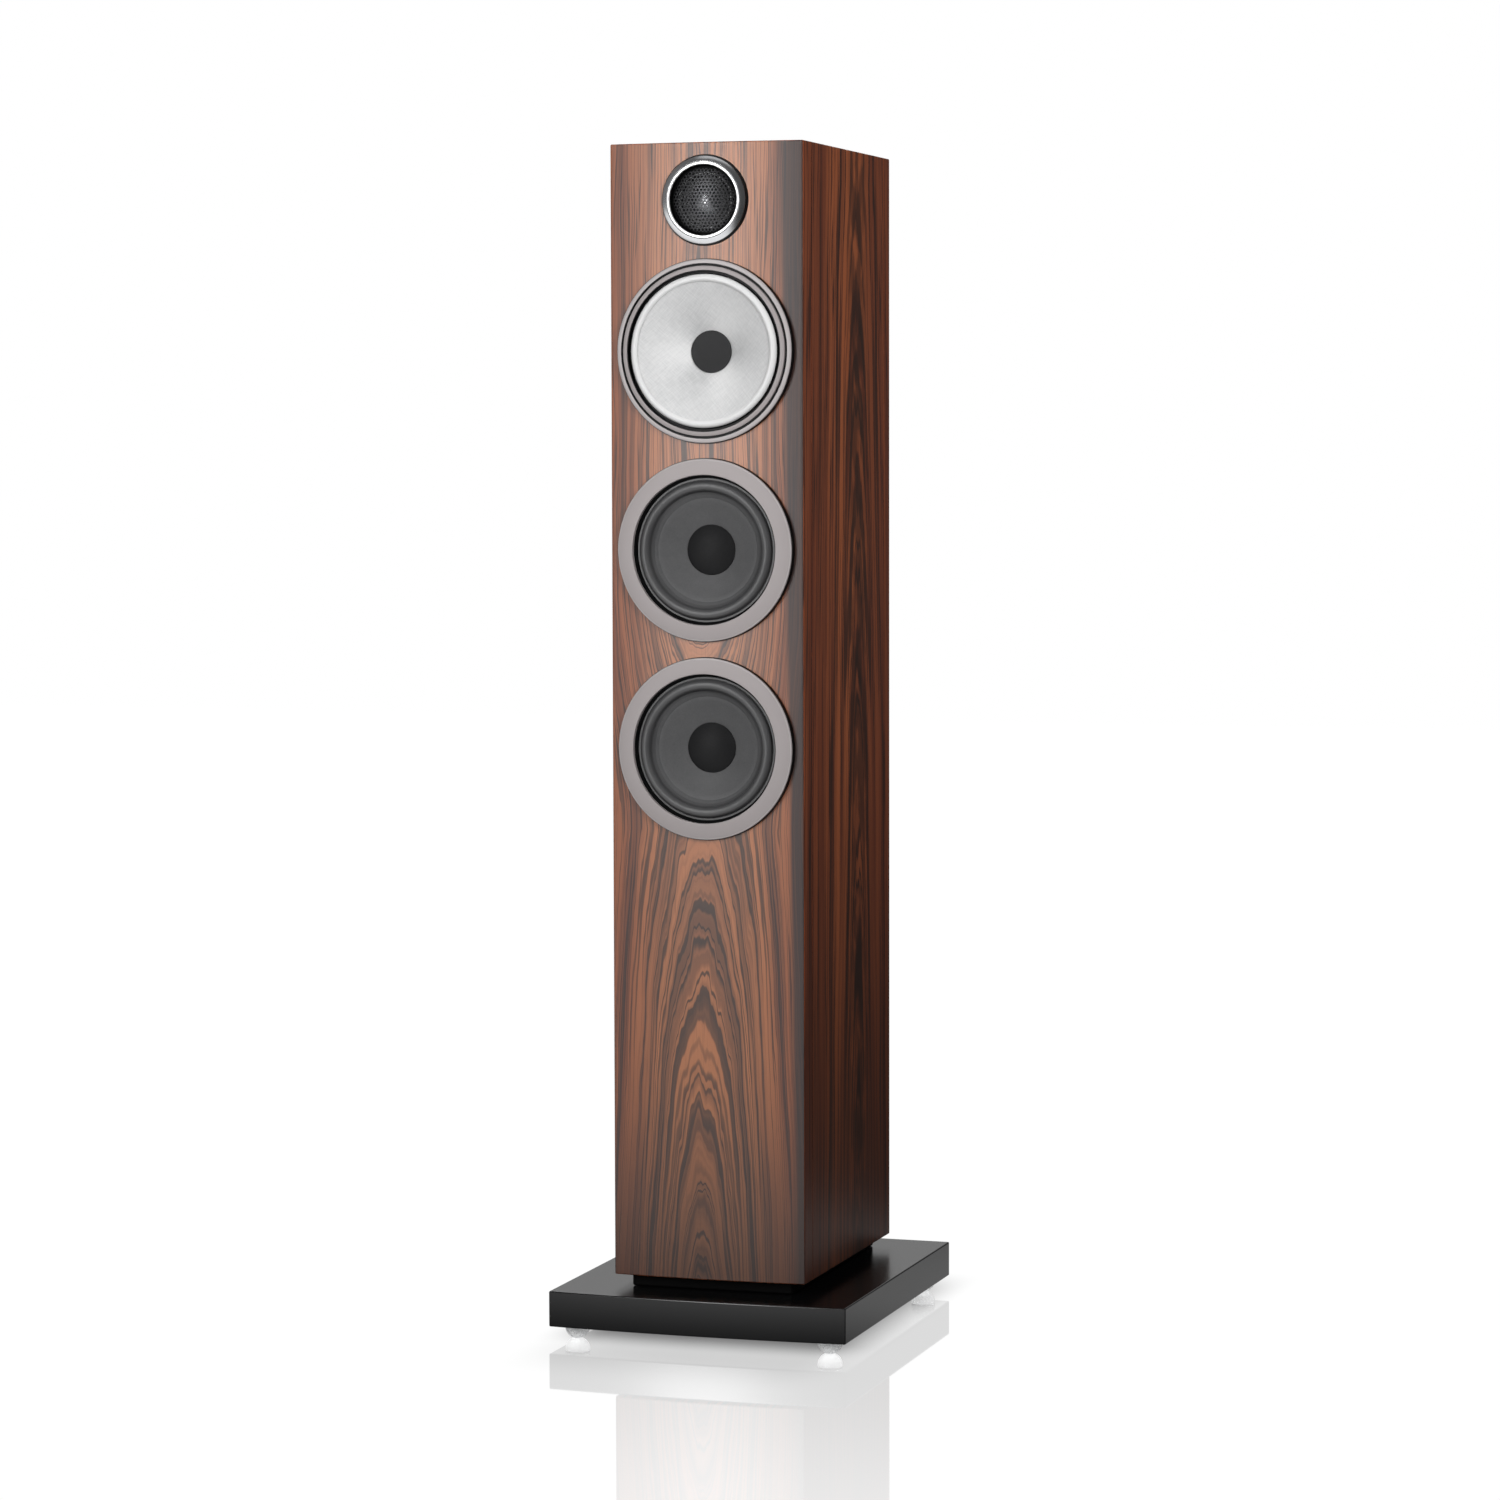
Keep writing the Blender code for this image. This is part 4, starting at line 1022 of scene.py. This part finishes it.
def make_motor(name, centre, pole, plate_hole, front, outer):
    """A vented pole in a ring magnet between a front plate and a yoke, with every edge eased."""
    vent = 0.4 * pole
    magnet_hole = plate_hole + 6
    plate = front + PLATE_THICK
    magnet = plate + MAGNET_THICK
    yoke = magnet + YOKE_THICK
    section = [
        (vent, front - 1), (pole - 0.4, front - 1), (pole, front - 0.6), (pole, magnet),
        (magnet_hole, magnet), (magnet_hole, plate), (plate_hole, plate), (plate_hole, front),
        (outer - 2.5, front), (outer - 2, front + 0.5), (outer - 2, plate - 0.3), (outer - 2.6, plate),
        (outer - 0.6, plate + 0.2), (outer, plate + 0.8), (outer, magnet - 0.8), (outer - 0.6, magnet - 0.2),
        (outer - 2.6, magnet), (outer - 2, magnet + 0.4), (outer - 3, yoke - 1), (outer - 4, yoke),
        (vent + 2, yoke), (vent, yoke - 2),
    ]
    turned(name + "_magnet_system", section, centre, 64, FERRITE, [name + "_motor"])


def make_coil(name, centre, inner, front, rear, body):
    """A thin former with its wire as ridges at the rear end."""
    first = rear - COIL_LENGTH
    windings = [(inner + 0.25, first)]
    for number in range(WINDINGS):
        level = first + WIRE * number
        windings += [(inner + 0.5, level + 0.2), (inner + 0.5, level + 0.5), (inner + 0.35, level + WIRE)]
    section = [(inner, front), (inner + 0.25, front)] + windings + [(inner + 0.25, rear), (inner, rear)]
    turned(name + "_wound_coil", section, centre, 64, COPPER, [name + "_voice_coil"], body)


def make_spider(name, centre, inner, outer, depth, body):
    """Ribs as a sine wave that fades to a flat collar inside and outside."""
    front = []
    for step in range(RIB_STEPS + 1):
        share = step / RIB_STEPS
        lift = RIB_HEIGHT * math.sin(share * 2 * math.pi * RIBS) * min(1, 8 * share, 8 * (1 - share))
        front.append((inner + (outer - inner) * share, depth + 0.1 + lift))
    section = front + [(radius, along + 0.5) for radius, along in reversed(front)]
    spider = turn(name + "_ribbed_cloth", section, centre, 72)
    replaced = [name + "_spider"]
    complete_stretched(spider, CLOTH, replaced, body, centre, outer - 1, inner + 1)


print("unit helpers ready")

# %% [markdown]
# ## Bass units
# Two equal units. A broad satin ring slopes back to a rounded edge, whose paler finish is a painted
# highlight, and stands on a black pod, which is a hair wider, so that its black rim draws a fine painted
# shadow line round the ring. Inside it come a black lip, a half-round rubber roll, a cone of grey pulp and a
# smooth cap. A shallow step runs round the cone near its rim.

# %% Bass units
RING_RADIUS = 73.9
# The pod's extra width draws a painted shadow line round the ring.
POD_RADIUS = 74.3
CONE_WALL = 0.7


def with_back(front):
    """A cone's whole section from its front face."""
    return front + [(radius, depth + CONE_WALL) for radius, depth in reversed(front)]


def make_bass(name):
    centre = BASS_CENTRES[name]
    body = name + "_diaphragm"
    face = [(60.7, -6.3)] + arc((61.3, -9.4), 0.6, 180, 270, 5) + [(72.6, -8.29), (72.6, -6.3)]
    turned(name + "_satin_ring", face, centre, 192, SATIN_GREY, [name + "_trim_ring"])
    # The rounded outer edge in the paler satin is a painted highlight.
    edge = [(72.65, -6.3), (72.65, -8.32)] + arc((73.1, -7.4), 0.8, 279, 360, 6) + [(RING_RADIUS, -6.3)]
    turned(name + "_ring_edge", edge, centre, 192, SATIN_PAINTED_HIGHLIGHT)
    # The black pod, a hair wider than the ring, shows a fine painted shadow line round it.
    wall = [(60.9, -6.2), (POD_RADIUS, -6.2), (POD_RADIUS, 1.2), (72.6, 1.2), (72.6, -5.5), (60.9, -5.5)]
    turned(name + "_pod_wall", wall, centre, 192, BLACK_MOULDING)
    basket = [
        (71.6, -5.2), (71.6, 1.2), (59.5, 1.2), (44.0, 29.7), (28.0, 29.7), (28.0, 26.7), (37.5, 26.7),
        (37.5, 20.8), (43.5, 20.8), (55.0, 2.5), (55.0, -2.4), (58.6, -2.4), (58.8, -2.6), (60.2, -5.0),
        (60.4, -5.2),
    ]
    make_basket(name, basket, centre, (34, 80, 6, 18))
    front = [(58.2, -2.95), (56.9, -2.95)] + arc((51.9, -3.6), 4.3, 0, -180, 20)
    front += [(47.3, -2.8), (46.6, -2.2), (45.9, -1.6), (44.9, -0.95)]
    back = [(44.9, -0.7), (46.3, -1.4), (47.6, -2.6)] + arc((51.9, -3.0), 3.7, 180, 360, 16)
    back += [(58.2, -2.55)]
    roll = turn(name + "_half_roll", front + back, centre, 144)
    replaced = [name + "_surround"]
    complete_stretched(roll, RUBBER_BLACK, replaced, body, centre, 56.2, 47.6)
    cone_front = [(47.0, -1.6), (42.4, 0.6), (42.2, 0.85), (41.7, 0.95), (38.0, 2.75), (34.0, 4.75)]
    cone_front += [(27.0, 8.05), (20.4, 11.05), (13.3, 14.4)]
    cone = with_back(cone_front)
    turned(name + "_pulp_cone", cone, centre, 144, BASS_CONE, [name + "_cone"], body)
    cap = arc((0, 43.8), 39.2, -90, -59, 14) + [(20.5, 10.9), (20.0, 11.0)]
    cap += arc((0, 43.8), 38.4, -59.5, -90, 10)
    turned(name + "_cap", cap, centre, 96, BASS_CAP, [name + "_dust_cap"], body)
    make_motor(name, centre, 11.9, 14.0, 30, 42)
    make_coil(name, centre, 12.4, 14.2, 38, body)
    make_spider(name, centre, 13.3, 42.5, 19.7, body)


for bass_name in BASS_CENTRES:
    make_bass(bass_name)
print("bass units:", len(BASS_CENTRES))

# %% [markdown]
# ## Midrange unit
# Its ring is split by a black groove into a paler outer ring, whose paleness is a painted highlight, and a
# grey inner ring. A thin black fin in the groove covers the outer ring's inner wall as a painted shadow. The
# ring stands clear of the cone: a deep black trench lies between them, and a narrow pale ridge joins the cone
# to the chassis's black nose. The cone's slope follows a shallow curve, which a quadratic through three
# measured points gives. A soft dark plug fills its middle and moves with it.

# %% Midrange unit
MID_BODY = "mid_diaphragm"


def mid_depth(radius):
    """Depth of the woven cone's face, in mm."""
    return -8.8 - 0.519 * (radius - 57.4) + 0.001818 * (radius - 57.4) * (radius - 31)


outer_face = [(70.5, -6.3)] + arc((70.9, -7.7), 0.4, 180, 270, 4) + arc((73.2, -6.9), 0.7, 281, 360, 5)
outer_face += [(RING_RADIUS, -6.3)]
# The outer ring in the paler satin is a painted highlight.
turned("mid_outer_ring", outer_face, MID_CENTRE, 192, SATIN_PAINTED_HIGHLIGHT, ["mid_trim_ring"])
inner_face = [(65.0, -6.3)] + arc((65.4, -9.1), 0.4, 180, 270, 4) + arc((68.1, -8.4), 0.4, 284, 360, 4)
inner_face += [(68.5, -6.3)]
turned("mid_inner_ring", inner_face, MID_CENTRE, 192, SATIN_GREY)
# The thin black fin from 69.95 to 70.45 mm covers the outer ring's inner wall: a painted shadow.
pod_section = [
    (64.4, -9.0), (64.95, -9.0), (64.95, -6.2), (69.95, -6.2), (69.95, -7.9), (70.45, -7.9), (70.45, -6.2),
    (POD_RADIUS, -6.2), (POD_RADIUS, 1.2), (72.6, 1.2), (72.6, -5.0), (64.4, -5.0),
]
turned("mid_pod_wall", pod_section, MID_CENTRE, 192, BLACK_MOULDING)
nose = [
    (71.6, -4.7), (71.6, 1.2), (63.4, 1.2), (48.0, 32.7), (30.0, 32.7), (30.0, 29.7), (40.5, 29.7),
    (40.5, 23.8), (46.5, 23.8), (58.8, 4.0), (58.8, -6.5), (62.0, -6.5), (62.2, -6.3), (62.4, -5.0),
    (62.7, -4.7),
]
make_basket("mid", nose, MID_CENTRE, (36, 80, 7, 20))
ridge_front = arc((58.3, -6.9), 3.7, -12, -90, 14) + [(57.6, -10.45), (57.0, -10.0), (56.2, -9.2)]
ridge_back = [(56.2, -8.9), (57.2, -9.3)] + arc((58.3, -6.5), 3.2, -90, -5, 10)
ridge = turn("mid_pale_ridge", ridge_front + ridge_back, MID_CENTRE, 160)
complete_stretched(
    ridge, PALE_RUBBER, ["mid_surround"], MID_BODY, MID_CENTRE, 61.4, 57.6
)
cone_radii = [57.0 - 3.0 * step for step in range(14)] + [15.7]
woven_section = with_back([(radius, mid_depth(radius)) for radius in cone_radii])
turned("mid_woven_cone", woven_section, MID_CENTRE, 160, WOVEN_CONE, ["mid_cone"], MID_BODY)
plug_section = [(0, 6.6), (3.5, 6.75), (7, 7.3), (10.2, 8.25), (13, 9.5), (15.5, 11.0)]
plug_section += arc((16.2, 12.2), 1.0, -50, 90, 6) + [(14.4, 13.5), (14.4, 20), (0, 20)]
plug = turned("mid_foam_plug", plug_section, MID_CENTRE, 96, PLUG_FOAM, ["mid_plug"], MID_BODY)
make_motor("mid", MID_CENTRE, 14.2, 16.6, 33, 45)
make_coil("mid", MID_CENTRE, 14.9, 14.2, 42, MID_BODY)
make_spider("mid", MID_CENTRE, 15.8, 45.5, 22.7, MID_BODY)
print("midrange unit made")

# %% [markdown]
# ## Tweeter
# A black flange carries a grey bevel, a bright ring and a domed metal mesh that guards the dome behind it.
# A mesh could be a picture of holes, but then nothing would show through it. Here the edge of one round hole
# is extruded outwards to a six-sided cell, two arrays lay the cell out as a honeycomb, the cells past the rim
# are deleted, and the flat sheet is pressed onto a domed form with Shrinkwrap before Solidify thickens it.

# %% Tweeter rings
flange_section = [
    (36.4, -4.0), (36.4, 1.2), (32.4, 1.2), (32.4, 9.0), (14.2, 9.0), (14.2, 1.5), (25.5, 0.2), (28.4, -1.0),
    (28.4, -7.9), (29.2, -7.9), (29.2, -4.4), (36.0, -4.4),
]
turned("tweeter_flange", flange_section, TWEETER_CENTRE, 128, BLACK_MOULDING,
       ["tweeter_housing"])
bevel_section = [(31.1, -4.6), (31.1, -8.8), (31.25, -8.95), (31.5, -8.9), (35.0, -6.9), (35.2, -6.7)]
bevel_section += [(35.2, -4.6)]
turned("tweeter_grey_bevel", bevel_section, TWEETER_CENTRE, 160, TWEETER_GREY,
       ["tweeter_trim"])
bright_section = [(29.4, -4.6), (29.4, -8.0), (28.5, -8.0)] + arc((29.4, -8.4), 0.9, 180, 270, 8)
bright_section += arc((30.2, -8.75), 0.55, 270, 360, 5) + [(30.75, -4.6)]
turned("tweeter_shining_ring", bright_section, TWEETER_CENTRE, 192, BRIGHT_METAL,
       ["tweeter_bright_ring"])
print("tweeter rings made")

# %% Tweeter mesh
MESH_PITCH = 3.05 * MM
MESH_HOLE = 1.08 * MM
MESH_REACH = 26.2 * MM
MESH_RIM = 28.0
MESH_RIM_DEPTH = -3.4
MESH_CROWN = 5.0
MESH_ROWS = 23
MESH_COLUMNS = 33
MESH_THICKNESS = 0.7 * MM
CELL_SEAM = 1e-5
FORM_STEPS = 24
row_step = MESH_PITCH * math.sqrt(3) / 2


def mesh_depth(radius):
    """Depth of the domed mesh's face, in mm."""
    return MESH_RIM_DEPTH - MESH_CROWN * (1 - (radius / MESH_RIM) ** 2)


def on_corner(vert):
    """Whether an outer point of the cell is one of the six that become corners."""
    heading = round(math.degrees(math.atan2(vert.co.y, vert.co.x)))
    return vert.co.length > MESH_HOLE * 1.1 and heading % 60 == 30


def cell_reach(face):
    """How far the middle of the cell that a face belongs to is from the middle of the sheet."""
    middle = face.calc_center_median()
    row = round(middle.y / row_step)
    column = round((middle.x - row * MESH_PITCH / 2) / MESH_PITCH)
    return math.hypot((column + row / 2) * MESH_PITCH, row * row_step)


start_fresh()
bpy.ops.mesh.primitive_circle_add(vertices=12, radius=MESH_HOLE)
sheet = named("tweeter_mesh")
bpy.ops.object.mode_set(mode="EDIT")
bpy.ops.mesh.select_all(action="SELECT")
bpy.ops.mesh.extrude_region_move(TRANSFORM_OT_translate={"value": (0, 0, 0)})
half_cell = MESH_PITCH / 2 / MESH_HOLE
bpy.ops.transform.resize(value=(half_cell, half_cell, 1), center_override=(0, 0, 0))
choose(sheet, "verts", on_corner)
to_corner = 2 / math.sqrt(3)
bpy.ops.transform.resize(value=(to_corner, to_corner, 1), center_override=(0, 0, 0))
bpy.ops.object.mode_set(mode="OBJECT")
for count, travel in ((MESH_COLUMNS, (MESH_PITCH, 0, 0)), (MESH_ROWS, (MESH_PITCH / 2, row_step, 0))):
    apply_modifier(
        sheet, "ARRAY", count=count, use_relative_offset=False, use_constant_offset=True,
        constant_offset_displace=travel, use_merge_vertices=True, merge_threshold=CELL_SEAM,
    )
middle_row = MESH_ROWS // 2
middle_column = MESH_COLUMNS // 2
sheet.location = (-(middle_column + middle_row / 2) * MESH_PITCH, -middle_row * row_step, 0.03)
bpy.ops.object.transform_apply(location=True, rotation=False, scale=False)
bpy.ops.object.mode_set(mode="EDIT")
choose(sheet, "faces", lambda face: cell_reach(face) > MESH_REACH)
bpy.ops.mesh.delete(type="FACE")
bpy.ops.mesh.select_all(action="SELECT")
bpy.ops.mesh.remove_doubles(threshold=CELL_SEAM)
bpy.ops.mesh.normals_make_consistent(inside=False)
bpy.ops.object.mode_set(mode="OBJECT")
form_radii = [MESH_RIM * step / FORM_STEPS for step in range(FORM_STEPS + 1)]
form_section = [(radius, -mesh_depth(radius)) for radius in form_radii] + [(0, 0)]
form = turn("mesh_form", form_section, (0, 0, 0), 96, "Z")
take(sheet)
apply_modifier(
    sheet, "SHRINKWRAP", target=form, wrap_method="PROJECT", use_project_z=True,
    use_negative_direction=True, use_positive_direction=False,
)
bpy.data.objects.remove(form, do_unlink=True)
apply_modifier(sheet, "SOLIDIFY", thickness=MESH_THICKNESS, offset=-1)
sheet.rotation_euler = (math.pi / 2, 0, 0)
sheet.location = TWEETER_CENTRE
complete(sheet, GRILLE_METAL, ["tweeter_grille"])
rim_section = [(26.2, -4.25), (27.9, -3.6), (28.2, -3.3), (28.2, -2.6), (26.2, -3.2)]
turned("tweeter_mesh_rim", rim_section, TWEETER_CENTRE, 128, BLACK_MOULDING)
print("tweeter mesh:", len(sheet.data.polygons), "faces")

# %% Tweeter dome
TWEETER_BODY = "tweeter_diaphragm"
seat_section = [(21.3, -2.2), (21.5, -2.8), (21.9, -3.0), (22.3, -2.8), (22.5, -2.0), (22.5, 0.4)]
seat_section += [(21.3, 0.6)]
turned("tweeter_bright_seat", seat_section, TWEETER_CENTRE, 128, BRIGHT_METAL)
dome_section = arc((0, 13.6), 17.0, -90, -44, 14) + [(13.1, 2.2), (13.1, 13.5), (12.5, 13.5), (12.5, 2.4)]
dome_section += arc((0, 13.6), 16.4, -45, -90, 12)
turned("tweeter_metal_dome", dome_section, TWEETER_CENTRE, 96, DOME_METAL, ["tweeter_dome"],
       TWEETER_BODY)
roll_front = [(19.2, 0.3), (17.6, 0.4)] + arc((15.6, 0.6), 1.7, 0, -180, 10) + [(13.3, 1.4)]
roll_back = [(13.3, 1.8)] + arc((15.6, 0.9), 1.3, -180, 0, 8) + [(19.2, 0.7)]
dome_roll = turn("tweeter_dome_roll", roll_front + roll_back, TWEETER_CENTRE, 96)
complete_stretched(dome_roll, RUBBER_BLACK, [], TWEETER_BODY, TWEETER_CENTRE, 17.3, 13.6)
make_motor("tweeter", TWEETER_CENTRE, 11.9, 13.9, 9.4, 24)
print("tweeter dome made")

# %% [markdown]
# ## Rear fittings
# The back isn't in the photograph, so it follows what such cabinets have: a flared port and a terminal panel.
# The flare is a quarter of an ellipse, which meets both the tube and the back board without a crease. Each
# knob is turned smooth and then its grip is pulled in between the flutes by scaling the chosen points.

# %% Port
FLARE_WIDTH = 9
FLARE_DEPTH = 16
FLARE_STEPS = 14
BORE = 24
flare = []
for step in range(FLARE_STEPS + 1):
    angle = math.radians(90 * step / FLARE_STEPS)
    flare.append((BORE + FLARE_WIDTH * (1 - math.cos(angle)), FLARE_DEPTH * (math.sin(angle) - 1)))
port_section = [(36.0, -0.6), (36.0, -2.2), (29.6, -2.2), (29.6, -6), (26.4, -16), (26.4, -132), (32, -149)]
port_section += [(31.6, -149.8), (31, -150), (28.6, -147.5), (26, -142), (24.6, -137), (BORE, -132)] + flare
port_section += [(35.5, 0), (35.85, -0.15)]
turned("flared_port", port_section, PORT_CENTRE, 96, BLACK_MOULDING, ["port_tube"])
print("port made")

# %% Terminal panel
PLATE_DEPTH = 2.7 * MM
RECESS_DEPTH = 0.9 * MM
RECESS_CORNER = 4
POSTS = {side: middle_of("terminal_washer_" + side) for side in ("left", "right")}

plate_outline = rounded_rectangle(TERMINAL_CENTRE, *PLATE_SIZE, PLATE_CORNER)
plate = slab("terminal_plate", plate_outline, REAR_PLANE - PLATE_DEPTH, REAR_PLANE, "Y")
ease(plate, 0.5 * MM, 2)
plate.data.materials.append(BLACK_MOULDING)
recess_outline = rounded_rectangle(TERMINAL_CENTRE, *OPENING_SIZE, RECESS_CORNER)
recess = slab("plate_recess", recess_outline, REAR_PLANE - RECESS_DEPTH, REAR_PLANE + 2 * MM, "Y")
cut(plate, recess, BLACK_MOULDING)
post_hole = [(0, -20), (3.3, -20), (3.3, 10), (0, 10)]
for post_place in POSTS.values():
    drill = turn("post_drill", post_hole, (post_place.x, REAR_PLANE, post_place.z), 32)
    cut(plate, drill, BLACK_MOULDING)
complete(plate, BLACK_MOULDING, ["terminal_panel"])
flatten_shading(plate)
print("terminal plate:", len(plate.data.polygons), "faces")

# %% Binding posts
FLUTES = 9
GRIP_RADIUS = 7.2 * MM
HOLLOWS = ((-0.2, 0.965), (-0.75, 0.97))


def flute(piece, centre):
    """Draws the grip in between the flutes, in two steps for a rounded hollow. Each hollow is how far from
    the flutes' crests it starts, as a cosine, and what is left of the radius."""
    bpy.ops.object.mode_set(mode="EDIT")
    for limit, waist in HOLLOWS:
        choose(piece, "verts", lambda vert: math.hypot(vert.co.x, vert.co.z) > GRIP_RADIUS
               and math.cos(FLUTES * math.atan2(vert.co.z, vert.co.x)) < limit)
        bpy.ops.transform.resize(value=(waist, 1, waist), center_override=centre)
    bpy.ops.object.mode_set(mode="OBJECT")


post_section = [(0, -14), (2.6, -14), (3.0, -13.6), (3.0, -8), (7, -8), (7, -3.2)]
post_section += threaded(3.0, -3.2, 16, 0.8)[2:]
collar_section = [(3.3, -0.9), (9.2, -0.9), (9.2, -0.2), (9.0, 0), (3.3, 0)]
washer_section = [(3.4, 0.3), (6.7, 0.3), (7.0, 0.6), (7.0, 1.7), (6.7, 2.0), (3.4, 2.0)]
knob_section = [(3.4, 2.3), (7.9, 2.3), (8.5, 2.9), (8.5, 17.4)] + arc((7.0, 17.5), 1.5, 0, 90, 5)
knob_section += [(5.2, 19), (5.0, 18.6), (0, 18.6), (0, 16.5), (3.4, 16.5)]
for side, post_place in POSTS.items():
    post_centre = Vector((post_place.x, REAR_PLANE, post_place.z))
    turned("gold_post_" + side, post_section, post_centre, 32, GOLD_PLATE,
           ["terminal_post_" + side], angle=RIDGED_ANGLE)
    turned("post_collar_" + side, collar_section, post_centre, 64, BLACK_MOULDING)
    turned("gold_washer_" + side, washer_section, post_centre, 64, GOLD_PLATE,
           ["terminal_washer_" + side], "washer_" + side)
    knob = turn("fluted_knob_" + side, knob_section, post_centre, 90)
    flute(knob, post_centre)
    complete(knob, BLACK_MOULDING, ["terminal_knob_" + side], "knob_" + side)
print("binding posts:", len(POSTS))

# %% Screws
screw_section = [(0, -1.5), (2.0, -1.5), (2.0, 0), (3.2, 0), (3.2, 0.4), (2.9, 0.9), (2.2, 1.25), (0, 1.4)]
SLOT_HALF = 0.35
SLOT_REACH = 1.6
SLOT_FLOOR = 0.6 * MM
SLOT_TOP = 2.2 * MM
SCREWS_APART = (84 * MM, 50 * MM)


def cross_outline(place):
    """A plus sign round the screw's axis: one arm's three points, turned four times."""
    points = []
    for ahead, aside in ((1, 0), (0, 1), (-1, 0), (0, -1)):
        for far, near in ((SLOT_REACH, -SLOT_HALF), (SLOT_REACH, SLOT_HALF), (SLOT_HALF, SLOT_HALF)):
            across = far * ahead - near * aside
            up = far * aside + near * ahead
            points.append((place[0] + across * MM, place[2] + up * MM))
    return points


def cross_screw(name, place):
    """A pan head with a cross cut into it, standing along +Y."""
    screw = turn(name, screw_section, place, 36)
    screw.data.materials.append(STEEL)
    outline = cross_outline(place)
    cut(screw, slab("cross_slot", outline, place[1] + SLOT_FLOOR, place[1] + SLOT_TOP, "Y"), STEEL)
    return screw


between, above = SCREWS_APART
first_place = (TERMINAL_CENTRE.x - between / 2, REAR_PLANE, TERMINAL_CENTRE.z - above / 2)
first_screw = cross_screw("plate_screw_1", first_place)
for number, (across, up) in enumerate(((between, 0), (0, above), (between, above)), start=2):
    take(first_screw)
    bpy.ops.object.duplicate()
    bpy.ops.transform.translate(value=(across, 0, up))
    complete(named(f"plate_screw_{number}"), STEEL)
complete(first_screw, STEEL)
print("plate screws:", number)

# %% [markdown]
# ## Inside the cabinet
# Nothing here shows from outside, but the cabinet can be opened in an exploded view. The midrange unit has
# its own chamber, the crossover's coil is wound wire, and the damping pad is foam cut into soft bumps: a
# block's face is divided, each square inset and pulled out, and Subdivision Surface rounds the lot.

# %% Chamber, coil and capacitor
CUP_WALL = 5
COIL_OUTSIDE = 23.4
COIL_HEIGHT = 20
COIL_TURNS = 13
TURN_PITCH = 1.53

chamber_low, chamber_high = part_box("mid_chamber")
cup_start = (chamber_low.y - BAFFLE_PLANE) / MM
cup_end = (chamber_high.y - BAFFLE_PLANE) / MM
cup_section = [
    (0, cup_end), (51.2, cup_end), (64, cup_end - 19.2), (64, cup_start), (59, cup_start),
    (59, cup_end - 21.7), (48.6, cup_end - CUP_WALL), (0, cup_end - CUP_WALL),
]
turned("mid_cup", cup_section, MID_CENTRE, 96, BOARD, ["mid_chamber"])

coil_place = middle_of("crossover_coil")
coil_place.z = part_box("crossover_coil")[0].z
coil_section = [(9, 0), (COIL_OUTSIDE, 0)]
for number in range(COIL_TURNS):
    coil_section += arc((COIL_OUTSIDE, 0.8 + TURN_PITCH * number), 0.6, -90, 90, 4)
coil_section += [(COIL_OUTSIDE, COIL_HEIGHT), (9, COIL_HEIGHT)]
turned("crossover_wound_coil", coil_section, coil_place, 64, COPPER, ["crossover_coil"], axis="Z")

can_section = [(0, -25), (9.6, -25)] + arc((9.9, -23.9), 1.1, -90, 0, 4) + arc((9.9, 23.9), 1.1, 0, 90, 4)
can_section += [(9.4, 25), (9.0, 24.4), (0, 24.4)]
can_place = middle_of("crossover_capacitor")
turned("crossover_can", can_section, can_place, 64, BLACK_MOULDING, ["crossover_capacitor"])
print("chamber, coil and capacitor made")

# %% Damping pad
PAD_BASE = 16 * MM
BUMP_ROWS = 8
BUMP_INSET = 4 * MM
BUMP_HEIGHT = 9 * MM


def looks_ahead(face):
    return face.normal.y < -0.9


pad_low, pad_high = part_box("damping_pad")
pad_middle = (pad_low + pad_high) / 2
start_fresh()
bpy.ops.mesh.primitive_cube_add(size=1, location=(pad_middle.x, pad_high.y - PAD_BASE / 2, pad_middle.z))
foam_pad = named("bumpy_foam_pad")
foam_pad.scale = (pad_high.x - pad_low.x, PAD_BASE, pad_high.z - pad_low.z)
bpy.ops.object.transform_apply(location=True, rotation=True, scale=True)
bpy.ops.object.mode_set(mode="EDIT")
choose(foam_pad, "faces", looks_ahead)
bpy.ops.mesh.subdivide(number_cuts=BUMP_ROWS - 1)
choose(foam_pad, "faces", looks_ahead)
bpy.ops.mesh.inset(thickness=BUMP_INSET, use_individual=True)
bpy.ops.transform.translate(value=(0, -BUMP_HEIGHT, 0))
bpy.ops.object.mode_set(mode="OBJECT")
apply_modifier(foam_pad, "SUBSURF", levels=2, render_levels=2)
complete(foam_pad, FOAM, ["damping_pad"], angle=60)
print("foam pad:", len(foam_pad.data.polygons), "faces")

# %% [markdown]
# ## CAD pieces that stay
# Three pieces already have the right shape, so they only get a finish.

# %% Finishes for the remaining CAD pieces
KEPT = {"plinth_spacer": SPACER_BLACK_AND_SHADE, "window_brace": BOARD, "crossover_board": BOARD}
for node, finish in KEPT.items():
    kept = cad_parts[node]
    kept.data.materials.clear()
    kept.data.materials.append(finish)
print("kept CAD pieces:", len(KEPT))
